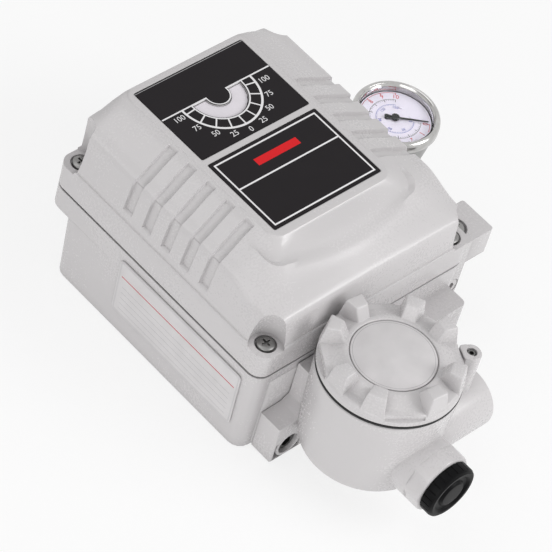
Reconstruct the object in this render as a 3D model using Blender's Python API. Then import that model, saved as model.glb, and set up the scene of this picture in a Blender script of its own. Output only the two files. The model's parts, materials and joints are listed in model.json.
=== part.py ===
"""Electro-pneumatic rotary valve positioner with a round flameproof terminal box.

Metres, +Z up. The origin lies on the main shaft's axis, in the plane of the base's underside.
+X is to the right and +Y to the top of the text on the cover, +Z goes out through the cover.
"""
import math

import bmesh
import bpy
from mathutils import Matrix, Vector

# Clearances
GAP = 0.0003
RUN_OUT = 0.002
TINY = 1e-7

# Facets on curves
CORNER_STEPS = 4
SMALL_ROUND = 10
ROUND = 16
LARGE_ROUND = 36
MEDIUM_ROUND = 24

# Housing, shared by base, gasket and cover
HALF_X = 0.0662
FRONT_Y = -0.1147
BACK_Y = 0.0267
CORNER = 0.0066
BASE_TOP = 0.0504
FLOOR = 0.006
WALL_FOOT_X = HALF_X - 0.0017
WALL_FOOT_FRONT = FRONT_Y + 0.0008
FOOT_BACK_Y = 0.016
BAND_HEIGHT = 0.012
CAVITY_X = HALF_X - 0.0052
CAVITY_FRONT = FRONT_Y + 0.0052
CAVITY_BACK = 0.0115
CAVITY_CORNER = 0.020
GASKET_THICKNESS = 0.0008
GASKET_BOTTOM = BASE_TOP + GAP
COVER_BOTTOM = GASKET_BOTTOM + GASKET_THICKNESS + GAP
DRAFT = math.atan((HALF_X - WALL_FOOT_X) / BASE_TOP)

# Cover: flange, lip, shoulder and plateau
FLANGE_TOP = 0.0668
LIP = 0.0010
SHOULDER_X = HALF_X - 0.0047
SHOULDER_SIDE_Z = 0.0880
SHOULDER_FRONT_Z = 0.0820
SHOULDER_FRONT_Y = FRONT_Y + 0.0034
PLATEAU_X = HALF_X - 0.0292
PLATEAU_FRONT = FRONT_Y + 0.0332
PLATEAU_BACK = BACK_Y - 0.0033
PLATEAU_Z = 0.0960
PLATEAU_EDGE_Z = PLATEAU_Z - 0.0005
ROOF_INSIDE_Z = PLATEAU_Z - 0.0045
COVER_CAVITY_X = HALF_X - 0.0087
GROOVE_COUNT = 5
GROOVE_FIRST_Y = -0.0147
GROOVE_PITCH = 0.0129
GROOVE_WIDTH = 0.0060
GROOVE_DEPTH = 0.0017
GROOVE_SLANT = 0.0040
GROOVE_FOOT_Z = 0.0710

# Cover screws
SCREW_X = HALF_X - 0.0080
SCREW_BACK_Y = BACK_Y - 0.0075
SCREW_FRONT_Y = FRONT_Y + 0.0075
SCREW_SEAT_Z = 0.0633
SCREW_FOOT_Z = 0.0415
SCREW_RADIUS = 0.0021
SCREW_HEAD_RADIUS = 0.0044
SCREW_HEAD_HEIGHT = 0.0026
SCALLOP_RADIUS = 0.0082
SCALLOP_FLOOR_Z = 0.0650

# Labels, window and nameplate
LABEL_X = PLATEAU_X - 0.0039
LABEL_THICKNESS = 0.0004
LABEL_FLOOR_Z = PLATEAU_Z - 0.0005
LABEL_CORNER = 0.0008
UPPER_LABEL_Y = (-0.0277, 0.0195)
LOWER_LABEL_Y = (-0.0765, -0.0315)
WINDOW_CENTRE_Y = -0.0008
WINDOW_INNER = 0.0066
WINDOW_OUTER = 0.0146
LENS_THICKNESS = 0.0023
NAMEPLATE_Y = (-0.1060, -0.0240)
NAMEPLATE_Z = (0.0120, 0.0455)
NAMEPLATE_THICKNESS = 0.0006

# Terminal box at the front
CAP_RADIUS = 0.0335
BOX_X = -0.0227
BOX_Y = FRONT_Y - CAP_RADIUS - 0.0015
BOX_TOP = 0.0670
BOX_BOTTOM = 0.0180
BOX_RADIUS = CAP_RADIUS - 0.0001
CHAMBER_RADIUS = BOX_RADIUS - 0.0054
CHAMBER_FLOOR = 0.0240
SEAL_THICKNESS = 0.0012
CAP_BOTTOM = BOX_TOP + 2 * GAP + SEAL_THICKNESS
CAP_TOP = 0.0774
CAP_PLATE_TOP = 0.0745
CAP_GRIP_PAIRS = 4
CAP_GRIP_TURN = math.radians(12)
CAP_GRIP_SPREAD = math.radians(18)
GRIP_FOOT = 0.0722
GRIP_TOP = 0.0835
DISC_RADIUS = CAP_RADIUS - 0.0138
BOSS_RADIUS = 0.0155
CONDUIT_RADIUS = 0.0102
CONDUIT_Z = 0.0340
FRONT_BOSS_END = BOX_Y - BOX_RADIUS - 0.0125
SIDE_BOSS_END = BOX_X + BOX_RADIUS + 0.0143
SIDE_BOSS_Y = BOX_Y - 0.0153
FLANGE_HALF = BOX_RADIUS + 0.0007
FLANGE_FRONT = -0.1276
FLANGE_BOLT_OFFSET = 0.0248
FLANGE_BOLT_Z = 0.0082
LOCK_DISTANCE = CAP_RADIUS + 0.0053
LOCK_ANGLE = math.radians(-24)
LEAD_Z = 0.0360
LEAD_RADIUS = 0.0050

# Outlet boss on the base and pilot block on the right wall
OUTLET_X = (0.0150, 0.0590)
OUTLET_FRONT = -0.1273
OUTLET_Z = (0.0120, 0.0375)
PORT_RADIUS = 0.0059
BLOCK_X = (HALF_X + GAP, HALF_X + 0.0131)
BLOCK_Y = (-0.1076, -0.0240)
BLOCK_Z = (0.0120, 0.0510)
BLOCK_LOW_TOP = 0.0300
BLOCK_STEP_Y = -0.0620
SUPPLY_END = HALF_X + 0.0258
SUPPLY_Y = (-0.1076, -0.0868)
SUPPLY_BOTTOM = 0.0350
SPOOL_X = HALF_X + 0.0068
SPOOL_Z = 0.0200
SPOOL_BORE = 0.0053
AUTO_X = HALF_X + 0.0099
AUTO_Y = -0.0970

# Gauge
GAUGE_X = HALF_X + 0.02275
GAUGE_Y = -0.0383
GAUGE_TOP = 0.0687
BEZEL_RADIUS = 0.0215
BEZEL_HEIGHT = 0.0060
CASE_BOTTOM = 0.0400
POINTER_REST = math.radians(-42)

# Shaft train
SHAFT_RADIUS = 0.0060
SHOULDER_RADIUS = 0.0080
THREAD_RADIUS = 0.0050
DRIVE_RADIUS = 0.0100
DRIVE_TOP = 0.0037
DRIVE_FLATS = 0.0080
SHAFT_BOSS_TOP = 0.0180
BUSH_RADIUS = 0.0080
CAM_Z = (0.0570, 0.0600)
SHAFT_TOP = 0.0858
INDICATOR_Z = (0.0843, 0.0858)

# Feedback lever, which follows the cam at a constant ratio
SHAFT_TRAVEL = math.radians(90)
LEVER_TRAVEL = math.radians(-20)
LEVER_PIVOT = Vector((-0.0350, -0.0220))
LEVER_LENGTH = 0.0350
LEVER_START = math.radians(10)
LEVER_Z = (0.0607, 0.0632)
TAIL_LENGTH = 0.0215
ROLLER_RADIUS = 0.0045
SPRING_Z = 0.0670

# Torque motor, nozzle and zero wheel
MOTOR_X = 0.0120
MOTOR_PIVOT_Y = -0.0640
ARMATURE_HALF = 0.0015
ARMATURE_Z = (0.0300, 0.0400)
COIL_Y = (-0.0880, -0.0740)
NOZZLE_Y = -0.0940
NOZZLE_Z = 0.0350
ZERO_X = -0.0400
ZERO_Y = -0.0750


def clear_scene():
    """Empties the scene, so that the script builds the same thing each time."""
    for obj in list(bpy.data.objects):
        bpy.data.objects.remove(obj, do_unlink=True)


def finish(name, colour, roughness, metallic=0.0):
    """A plain material with the colour, roughness and metallic value of one piece."""
    material = bpy.data.materials.new(name)
    material.use_nodes = True
    shader = material.node_tree.nodes["Principled BSDF"]
    shader.inputs["Base Color"].default_value = (*colour, 1.0)
    shader.inputs["Roughness"].default_value = roughness
    shader.inputs["Metallic"].default_value = metallic
    return material


def rectangle(x_range, y_range, radius, z, steps=CORNER_STEPS):
    """Points of a rectangle with round corners, counter-clockwise seen from above."""
    x_min, x_max = x_range
    y_min, y_max = y_range
    corners = (
        (x_max - radius, y_max - radius, 0),
        (x_min + radius, y_max - radius, 90),
        (x_min + radius, y_min + radius, 180),
        (x_max - radius, y_min + radius, 270),
    )
    points = []
    for x, y, start in corners:
        for step in range(steps + 1):
            angle = math.radians(start + 90 * step / steps)
            points.append((x + radius * math.cos(angle), y + radius * math.sin(angle), z))
    return points


def circle(radius, z, steps=ROUND, centre=(0.0, 0.0)):
    """Points of a circle, or of a regular polygon, counter-clockwise seen from above."""
    points = []
    for step in range(steps):
        angle = 2 * math.pi * step / steps
        x = centre[0] + radius * math.cos(angle)
        y = centre[1] + radius * math.sin(angle)
        points.append((x, y, z))
    return points


def loft(rings):
    """A closed solid through rings of equal length, listed from the bottom to the top."""
    shape = bmesh.new()
    loops = [[shape.verts.new(point) for point in ring] for ring in rings]
    count = len(loops[0])
    for low, high in zip(loops, loops[1:]):
        for i in range(count):
            j = (i + 1) % count
            shape.faces.new((low[i], low[j], high[j], high[i]))
    shape.faces.new(list(reversed(loops[0])))
    shape.faces.new(loops[-1])
    return shape


def prism(outline, z_low, z_high):
    """A solid with one outline of (x, y) points between two heights."""
    return loft([[(x, y, z) for x, y in outline] for z in (z_low, z_high)])


def block(x_range, y_range, z_range):
    """A plain box between three pairs of limits."""
    x0, x1 = x_range
    y0, y1 = y_range
    return prism(((x0, y0), (x1, y0), (x1, y1), (x0, y1)), *z_range)


def slab(x_range, y_range, z_range, radius, steps=CORNER_STEPS):
    """A box whose upright edges are rounded."""
    return loft([rectangle(x_range, y_range, radius, z, steps) for z in z_range])


def rod(radius, z_range, steps=ROUND, centre=(0.0, 0.0)):
    """An upright cylinder."""
    return loft([circle(radius, z, steps, centre) for z in z_range])


def hexagon(width, z_range):
    """An upright hexagonal bar, measured across its flats."""
    return loft([circle(width / math.sqrt(3), z, 6) for z in z_range])


def turned(profile, steps=ROUND):
    """A solid of revolution about Z from an outline of (radius, height) points."""
    shape = bmesh.new()
    rows = []
    for radius, height in profile:
        if radius < TINY:
            rows.append([shape.verts.new((0.0, 0.0, height))] * steps)
        else:
            rows.append([shape.verts.new(point) for point in circle(radius, height, steps)])
    for row, following in zip(rows, rows[1:] + rows[:1]):
        for i in range(steps):
            j = (i + 1) % steps
            corners = list(dict.fromkeys((row[i], row[j], following[j], following[i])))
            if len(corners) > 2:
                shape.faces.new(corners)
    return shape


def moved(shape, offset=(0.0, 0.0, 0.0), turn=0.0, axis="Z"):
    """The shape after a turn about one axis and then a move."""
    matrix = Matrix.Translation(offset) @ Matrix.Rotation(turn, 4, axis)
    bmesh.ops.transform(shape, matrix=matrix, verts=shape.verts)
    return shape


def along_x(shape, offset=(0.0, 0.0, 0.0)):
    """The shape with its own Z axis laid along +X."""
    return moved(shape, offset, math.radians(90), "Y")


def along_y(shape, offset=(0.0, 0.0, 0.0)):
    """The shape with its own Z axis laid along +Y."""
    return moved(shape, offset, math.radians(-90), "X")


def together(*shapes):
    """Several shapes that don't touch, as one mesh to cut with."""
    result = bmesh.new()
    for shape in shapes:
        mesh = bpy.data.meshes.new("cutter")
        shape.to_mesh(mesh)
        shape.free()
        result.from_mesh(mesh)
        bpy.data.meshes.remove(mesh)
    return result


def new_object(name, shape):
    """An object that holds the shape, with its faces turned outwards."""
    bmesh.ops.recalc_face_normals(shape, faces=shape.faces)
    mesh = bpy.data.meshes.new(name)
    shape.to_mesh(mesh)
    shape.free()
    obj = bpy.data.objects.new(name, mesh)
    bpy.context.scene.collection.objects.link(obj)
    return obj


def reshape(obj, operation, tools):
    """Joins shapes to an object or cuts them out of it, in their order."""
    for tool in tools:
        helper = new_object(f"{obj.name}_tool_{len(obj.modifiers) + 1}", tool)
        helper.hide_render = True
        helper.display_type = "WIRE"
        helper.parent = obj
        modifier = obj.modifiers.new(helper.name, "BOOLEAN")
        modifier.operation = operation
        modifier.solver = "EXACT"
        modifier.object = helper


def piece(name, shape, material, at=(0.0, 0.0, 0.0), turn=(0.0, 0.0, 0.0), add=(), cut=()):
    """One named piece: a shape, what is joined to it and then what is cut out of it."""
    obj = new_object(name, shape)
    obj.data.materials.append(material)
    reshape(obj, "UNION", add)
    reshape(obj, "DIFFERENCE", cut)
    obj.location = at
    obj.rotation_euler = turn
    obj.data.shade_smooth()
    obj.data.set_sharp_from_angle(angle=math.radians(30))
    return obj


def screw_positions():
    """The four cover screws, back left first and then round the corners."""
    return (
        (-SCREW_X, SCREW_BACK_Y),
        (SCREW_X, SCREW_BACK_Y),
        (SCREW_X, SCREW_FRONT_Y),
        (-SCREW_X, SCREW_FRONT_Y),
    )


def cross_recess(span, width, z_range):
    """The cross-shaped driver recess in a screw head."""
    long = span / 2
    half = width / 2
    outline = (
        (long, -half), (long, half), (half, half), (half, long), (-half, long), (-half, half),
        (-long, half), (-long, -half), (-half, -half), (-half, -long), (half, -long), (half, -half),
    )
    return prism(outline, *z_range)


def make_base():
    """Die-cast base: an open tray with pads, bosses and the second outlet on its walls."""
    walls = loft([
        rectangle((-WALL_FOOT_X, WALL_FOOT_X), (WALL_FOOT_FRONT, FOOT_BACK_Y), CORNER, 0.0),
        rectangle((-HALF_X, HALF_X), (FRONT_Y, FOOT_BACK_Y + 0.001), CORNER, BASE_TOP),
    ])
    band_x = HALF_X - 0.00005
    band = slab((-band_x, band_x), (-0.02, BACK_Y), (BASE_TOP - BAND_HEIGHT, BASE_TOP), CORNER)
    block_pad = block((CAVITY_X + 0.001, HALF_X), (-0.106, -0.028), (0.013, 0.049))
    box_pad_x = (BOX_X - FLANGE_HALF, BOX_X + FLANGE_HALF)
    box_pad = block(box_pad_x, (FRONT_Y, CAVITY_FRONT - 0.001), (0.001, 0.045))
    outlet = loft([
        rectangle((OUTLET_X[0], OUTLET_X[1]), (OUTLET_FRONT, -0.111), 0.0025, z, 3)
        for z in OUTLET_Z
    ])
    cavity = slab(
        (-CAVITY_X, CAVITY_X), (CAVITY_FRONT, CAVITY_BACK), (FLOOR, BASE_TOP + RUN_OUT),
        CAVITY_CORNER, 6,
    )
    shaft_boss = rod(0.015, (FLOOR - 0.001, SHAFT_BOSS_TOP))
    lever_boss = rod(0.006, (FLOOR - 0.001, 0.050), SMALL_ROUND, LEVER_PIVOT)
    zero_boss = rod(0.005, (FLOOR - 0.001, 0.040), SMALL_ROUND, (ZERO_X, ZERO_Y))
    motor_pads = [rod(0.006, (FLOOR - 0.001, 0.0197), SMALL_ROUND, spot) for spot in motor_screws()]
    foot_bosses = [rod(0.007, (FLOOR - 0.001, 0.015), SMALL_ROUND, spot) for spot in foot_holes()]
    floor_bosses = together(shaft_boss, lever_boss, zero_boss, *motor_pads, *foot_bosses)
    shaft_bore = turned((
        (0.0, -RUN_OUT), (0.0120, -RUN_OUT), (0.0120, 0.0040), (BUSH_RADIUS + GAP, 0.0040),
        (BUSH_RADIUS + GAP, SHAFT_BOSS_TOP + RUN_OUT), (0.0, SHAFT_BOSS_TOP + RUN_OUT),
    ))
    foot_bores = [rod(0.0034, (-RUN_OUT, 0.012), SMALL_ROUND, spot) for spot in foot_holes()]
    screw_bores = [
        rod(SCREW_RADIUS + 0.0004, (0.0405, BASE_TOP + RUN_OUT), SMALL_ROUND, spot)
        for spot in screw_positions()
    ]
    post_bores = [
        rod(0.0033, (0.0415, 0.053), SMALL_ROUND, LEVER_PIVOT),
        rod(0.0023, (0.030, 0.043), SMALL_ROUND, (ZERO_X, ZERO_Y)),
    ]
    motor_bores = [rod(0.0018, (0.010, 0.022), SMALL_ROUND, spot) for spot in motor_screws()]
    outlet_bore = along_y(
        rod(PORT_RADIUS, (0.0, 0.0095 + RUN_OUT)), (0.037, OUTLET_FRONT - RUN_OUT, 0.024),
    )
    lead_bore = along_y(
        rod(LEAD_RADIUS + GAP, (0.0, 0.012), SMALL_ROUND), (BOX_X, FRONT_Y - 0.0033, LEAD_Z),
    )
    block_bores = [
        along_x(rod(0.0027, (0.0, 0.0045), SMALL_ROUND), (HALF_X - 0.0039, y, z))
        for y, z in block_screws()
    ]
    flange_bores = [
        along_y(rod(0.0033, (0.0, 0.0055), SMALL_ROUND), (x, FRONT_Y - 0.001, FLANGE_BOLT_Z))
        for x in flange_bolts()
    ]
    bores = together(
        shaft_bore, outlet_bore, lead_bore, *foot_bores, *screw_bores, *post_bores,
        *motor_bores, *block_bores, *flange_bores,
    )
    material = finish("base_paint", (0.62, 0.61, 0.60), 0.35)
    add = (band, block_pad, box_pad, outlet)
    base = piece("base_housing", walls, material, add=add, cut=(cavity,))
    reshape(base, "UNION", (floor_bosses,))
    reshape(base, "DIFFERENCE", (bores,))
    return base


def make_gasket():
    """Flat rubber gasket between base and cover, with a hole for each cover screw."""
    inset = 0.0006
    x_range = (-HALF_X + inset, HALF_X - inset)
    z_range = (GASKET_BOTTOM, GASKET_BOTTOM + GASKET_THICKNESS)
    plate = slab(x_range, (FRONT_Y + inset, BACK_Y - inset), z_range, CORNER)
    through = (z_range[0] - RUN_OUT, z_range[1] + RUN_OUT)
    opening = slab((-CAVITY_X, CAVITY_X), (CAVITY_FRONT, CAVITY_BACK), through, CAVITY_CORNER, 6)
    holes = [rod(SCREW_RADIUS + 0.0004, through, SMALL_ROUND, spot) for spot in screw_positions()]
    material = finish("gasket_rubber", (0.02, 0.02, 0.02), 0.8)
    return piece("cover_gasket", plate, material, cut=(together(opening, *holes),))


def smooth_step(value, low, high):
    """0 below the low limit, 1 above the high one, with a soft change between them."""
    t = min(max((value - low) / (high - low), 0.0), 1.0)
    return t * t * (3 - 2 * t)


def cover_ring(half_x, front, back, radius, side_z, front_z, bow=0.0):
    """One level line of the cover: lower at the front, where it may also bow outwards."""
    points = []
    outline = rectangle((-half_x, half_x), (front, back), radius, 0.0)
    per_corner = CORNER_STEPS + 1
    left_front_end = outline[3 * per_corner - 1]
    right_front_start = outline[3 * per_corner]
    for index, (x, y, _) in enumerate(outline):
        if index == 3 * per_corner:
            for part in range(1, 8):
                share = part / 8
                middle = left_front_end[0] + share * (right_front_start[0] - left_front_end[0])
                points.append((middle, front - bow * math.sin(math.pi * share), front_z))
        blend = smooth_step(y, -0.103, -0.080) if front < -0.09 else smooth_step(y, front, front + 0.02)
        points.append((x, y, front_z + (side_z - front_z) * blend))
    return points


def cover_profile():
    """The level lines of the outside, from the flange up over lip and shoulder to the plateau."""
    return (
        cover_ring(HALF_X, FRONT_Y, BACK_Y, CORNER, COVER_BOTTOM, COVER_BOTTOM),
        cover_ring(HALF_X, FRONT_Y, BACK_Y, CORNER, FLANGE_TOP - 0.0005, FLANGE_TOP - 0.0005),
        cover_ring(HALF_X - LIP, FRONT_Y + LIP, BACK_Y - LIP, 0.0058, FLANGE_TOP, FLANGE_TOP),
        cover_ring(SHOULDER_X + 0.0003, SHOULDER_FRONT_Y - 0.0003, 0.0249, 0.0080,
                   SHOULDER_SIDE_Z - 0.0012, SHOULDER_FRONT_Z - 0.0012),
        cover_ring(SHOULDER_X - 0.0012, SHOULDER_FRONT_Y + 0.0015, 0.0246, 0.0085,
                   SHOULDER_SIDE_Z + 0.0003, SHOULDER_FRONT_Z + 0.0008),
        cover_ring(SHOULDER_X - 0.0065, SHOULDER_FRONT_Y + 0.0083, 0.0244, 0.0090, 0.0897, 0.0857, 0.0020),
        cover_ring(SHOULDER_X - 0.0135, SHOULDER_FRONT_Y + 0.0168, 0.0242, 0.0085, 0.0926, 0.0885, 0.0055),
        cover_ring(PLATEAU_X + 0.0045, PLATEAU_FRONT - 0.0030, 0.0238, 0.0075, 0.0948, 0.0930, 0.0060),
        cover_ring(PLATEAU_X, PLATEAU_FRONT, PLATEAU_BACK, 0.0060, PLATEAU_EDGE_Z, PLATEAU_EDGE_Z),
        cover_ring(PLATEAU_X - 0.0007, PLATEAU_FRONT + 0.0007, PLATEAU_BACK - 0.0007, 0.0053,
                   PLATEAU_Z, PLATEAU_Z),
    )


def groove(side, number):
    """The cutter of one flute, which runs over the shoulder and down the side wall."""
    start_x = PLATEAU_X + 0.0018
    above = 0.1000
    beside = SHOULDER_X + 0.0085
    stations = (
        (start_x, 0.0938, start_x - 0.0004, above),
        (PLATEAU_X + 0.0055, 0.0928, PLATEAU_X + 0.0055, above),
        (SHOULDER_X - 0.0135, 0.0909, SHOULDER_X - 0.0135, above),
        (SHOULDER_X - 0.0065, 0.0881, SHOULDER_X - 0.0059, above),
        (SHOULDER_X - 0.0027, 0.0870, SHOULDER_X + 0.0005, above),
        (SHOULDER_X - 0.0015, 0.0856, beside, above),
        (SHOULDER_X - 0.0008, 0.0820, beside, 0.0860),
        (SHOULDER_X + 0.0013, GROOVE_FOOT_Z, beside, GROOVE_FOOT_Z + 0.0006),
    )
    centre_y = GROOVE_FIRST_Y - GROOVE_PITCH * number
    rings = []
    for floor_x, floor_z, top_x, top_z in stations:
        run = min(max((floor_x - start_x) / (SHOULDER_X - start_x), 0.0), 1.0)
        y = centre_y - GROOVE_SLANT * run
        floor = Vector((floor_x, floor_z))
        top = Vector((top_x, top_z))
        surface = floor + (top - floor).normalized() * GROOVE_DEPTH
        levels = ((floor, 0.40), (surface, 0.50), (top, 0.55))
        ring = [(side * spot.x, y - half * GROOVE_WIDTH, spot.y) for spot, half in levels]
        ring += [(side * spot.x, y + half * GROOVE_WIDTH, spot.y) for spot, half in reversed(levels)]
        rings.append(ring)
    return loft(rings)


def window_cutter(inner, outer, back_y, z_range):
    """A half ring in front of the shaft's axis."""
    outline = []
    steps = 12
    for radius, order in ((outer, range(0, steps + 1)), (inner, range(steps, -1, -1))):
        points = []
        for step in order:
            angle = math.pi + math.pi * step / steps
            points.append((radius * math.cos(angle), WINDOW_CENTRE_Y + radius * math.sin(angle)))
        if radius == outer:
            points = [(-radius, back_y), *points, (radius, back_y)]
        else:
            points = [(radius, back_y), *points, (-radius, back_y)]
        outline.extend(points)
    return prism(outline, *z_range)


def scallop(x, y):
    """The hollow over one cover screw, which leans outwards and fades out at the shoulder."""
    out_x = math.copysign(1.0, x)
    out_y = 1.0 if y > 0 else -1.0
    rings = []
    for z, lean in ((SCALLOP_FLOOR_Z, 0.0013), (0.100, 0.0093)):
        centre = (x + out_x * lean, y + out_y * lean)
        rings.append(circle(SCALLOP_RADIUS, z, ROUND, centre))
    return loft(rings)


def inside_ring(half_x, front, back, radius, z):
    """One level line of the cover's hollow."""
    return rectangle((-half_x, half_x), (front, back), radius, z, CORNER_STEPS + 1)


def make_cover():
    """Die-cast cover with fluted sides, label pockets, a dial window and screw hollows."""
    shell = loft(cover_profile())
    inside = loft([
        inside_ring(COVER_CAVITY_X, FRONT_Y + 0.0087, 0.0190, 0.026, 0.049),
        inside_ring(COVER_CAVITY_X - 0.0015, FRONT_Y + 0.0102, 0.0185, 0.025, 0.080),
        inside_ring(COVER_CAVITY_X - 0.0035, FRONT_Y + 0.0157, 0.0180, 0.024, 0.084),
        inside_ring(PLATEAU_X - 0.0010, PLATEAU_FRONT + 0.0045, 0.0170, 0.012, ROOF_INSIDE_Z),
    ])
    hollows = together(*[scallop(x, y) for x, y in screw_positions()])
    flutes = together(*[groove(side, n) for side in (-1, 1) for n in range(GROOVE_COUNT)])
    seats = []
    for x, y in screw_positions():
        seats.append(moved(turned((
            (0.0, COVER_BOTTOM - RUN_OUT), (SCREW_RADIUS + 0.0004, COVER_BOTTOM - RUN_OUT),
            (SCREW_RADIUS + 0.0004, SCREW_SEAT_Z), (SCREW_HEAD_RADIUS + 0.0008, SCREW_SEAT_Z),
            (SCREW_HEAD_RADIUS + 0.0008, SCALLOP_FLOOR_Z + RUN_OUT), (0.0, SCALLOP_FLOOR_Z + RUN_OUT),
        ), SMALL_ROUND), (x, y, 0.0)))
    pocket_x = (-LABEL_X - GAP, LABEL_X + GAP)
    pocket_z = (LABEL_FLOOR_Z, PLATEAU_Z + RUN_OUT)
    pockets = []
    for low, high in (UPPER_LABEL_Y, LOWER_LABEL_Y):
        pockets.append(slab(pocket_x, (low - GAP, high + GAP), pocket_z, LABEL_CORNER, 2))
    window = window_cutter(WINDOW_INNER, WINDOW_OUTER, -0.0003, (ROOF_INSIDE_Z - RUN_OUT, PLATEAU_Z - 0.0003))
    material = finish("cover_paint", (0.62, 0.61, 0.60), 0.32)
    return piece(
        "top_cover", shell, material,
        cut=(inside, hollows, flutes, together(*seats), together(*pockets), window),
    )


def make_window_lens():
    """Clear window bonded under the roof, with a raised half ring that fills the opening."""
    top = ROOF_INSIDE_Z - GAP
    plate = slab((-0.020, 0.020), (-0.019, 0.004), (top - LENS_THICKNESS, top), 0.002, 3)
    raised = window_cutter(
        WINDOW_INNER + GAP, WINDOW_OUTER - GAP, -0.0006, (top - 0.001, LABEL_FLOOR_Z - GAP),
    )
    material = finish("window_polycarbonate", (0.90, 0.88, 0.90), 0.1)
    return piece("window_lens", plate, material, add=(raised,))


def make_label(name, y_range, cutters=()):
    """A thin printed plate that lies in its pocket on the plateau."""
    bottom = LABEL_FLOOR_Z + GAP
    z_range = (bottom, bottom + LABEL_THICKNESS)
    plate = slab((-LABEL_X, LABEL_X), y_range, z_range, LABEL_CORNER, 2)
    material = finish(name + "_print", (0.012, 0.010, 0.011), 0.3)
    return piece(name, plate, material, cut=cutters)


def make_labels():
    """The upper label, open over the window, and the plain lower one."""
    window = window_cutter(WINDOW_INNER, WINDOW_OUTER, -0.0003, (0.094, 0.098))
    return (
        make_label("upper_label", UPPER_LABEL_Y, (window,)),
        make_label("lower_label", LOWER_LABEL_Y),
    )


def make_nameplate():
    """The plate on the left wall, tilted with the wall's draft."""
    half_y = (NAMEPLATE_Y[1] - NAMEPLATE_Y[0]) / 2
    half_z = (NAMEPLATE_Z[1] - NAMEPLATE_Z[0]) / 2
    plate = slab((-half_y, half_y), (-half_z, half_z), (0.0, NAMEPLATE_THICKNESS), 0.002, 3)
    height = (NAMEPLATE_Z[0] + NAMEPLATE_Z[1]) / 2
    wall_x = -(WALL_FOOT_X + height * math.tan(DRAFT))
    place = (wall_x - GAP / math.cos(DRAFT), (NAMEPLATE_Y[0] + NAMEPLATE_Y[1]) / 2, height)
    material = finish("nameplate_foil", (0.75, 0.74, 0.72), 0.3)
    plate = moved(plate, turn=math.radians(-90), axis="Z")
    return piece("nameplate", plate, material, at=place, turn=(0.0, math.radians(-90) - DRAFT, 0.0))


def make_cover_screws():
    """Four captive pan-head screws with cross recesses."""
    head_top = SCREW_SEAT_Z + GAP + SCREW_HEAD_HEIGHT
    screws = []
    for number, (x, y) in enumerate(screw_positions(), start=1):
        shape = turned((
            (0.0, SCREW_FOOT_Z), (SCREW_RADIUS, SCREW_FOOT_Z), (SCREW_RADIUS, SCREW_SEAT_Z + GAP),
            (SCREW_HEAD_RADIUS, SCREW_SEAT_Z + GAP), (SCREW_HEAD_RADIUS, head_top - 0.0012),
            (SCREW_HEAD_RADIUS * 0.8, head_top - 0.0003), (SCREW_HEAD_RADIUS * 0.45, head_top),
            (0.0, head_top),
        ), SMALL_ROUND)
        recess = cross_recess(0.0046, 0.0011, (head_top - 0.0015, head_top + RUN_OUT))
        material = finish(f"screw_steel_{number}", (0.45, 0.44, 0.43), 0.35, 1.0)
        screws.append(piece(f"cover_screw_{number}", shape, material, at=(x, y, 0.0), cut=(recess,)))
    return screws


def foot_holes():
    """Four tapped mounting holes in the underside."""
    return ((-0.030, 0.000), (0.030, 0.000), (-0.030, -0.048), (0.030, -0.048))


def motor_screws():
    """The two screws that hold the torque motor's yoke on its pads."""
    return ((MOTOR_X - 0.019, MOTOR_PIVOT_Y - 0.001), (MOTOR_X + 0.019, MOTOR_PIVOT_Y - 0.001))


def block_screws():
    """The y and z places of the two screws through the pilot block."""
    return ((-0.0675, 0.0450), (-0.1000, 0.0304))


def flange_bolts():
    """The x places of the two bolts through the terminal box's flange."""
    return (BOX_X - FLANGE_BOLT_OFFSET, BOX_X + FLANGE_BOLT_OFFSET)


def at_box(shape):
    """The shape moved onto the terminal box's axis."""
    return moved(shape, (BOX_X, BOX_Y, 0.0))


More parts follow.
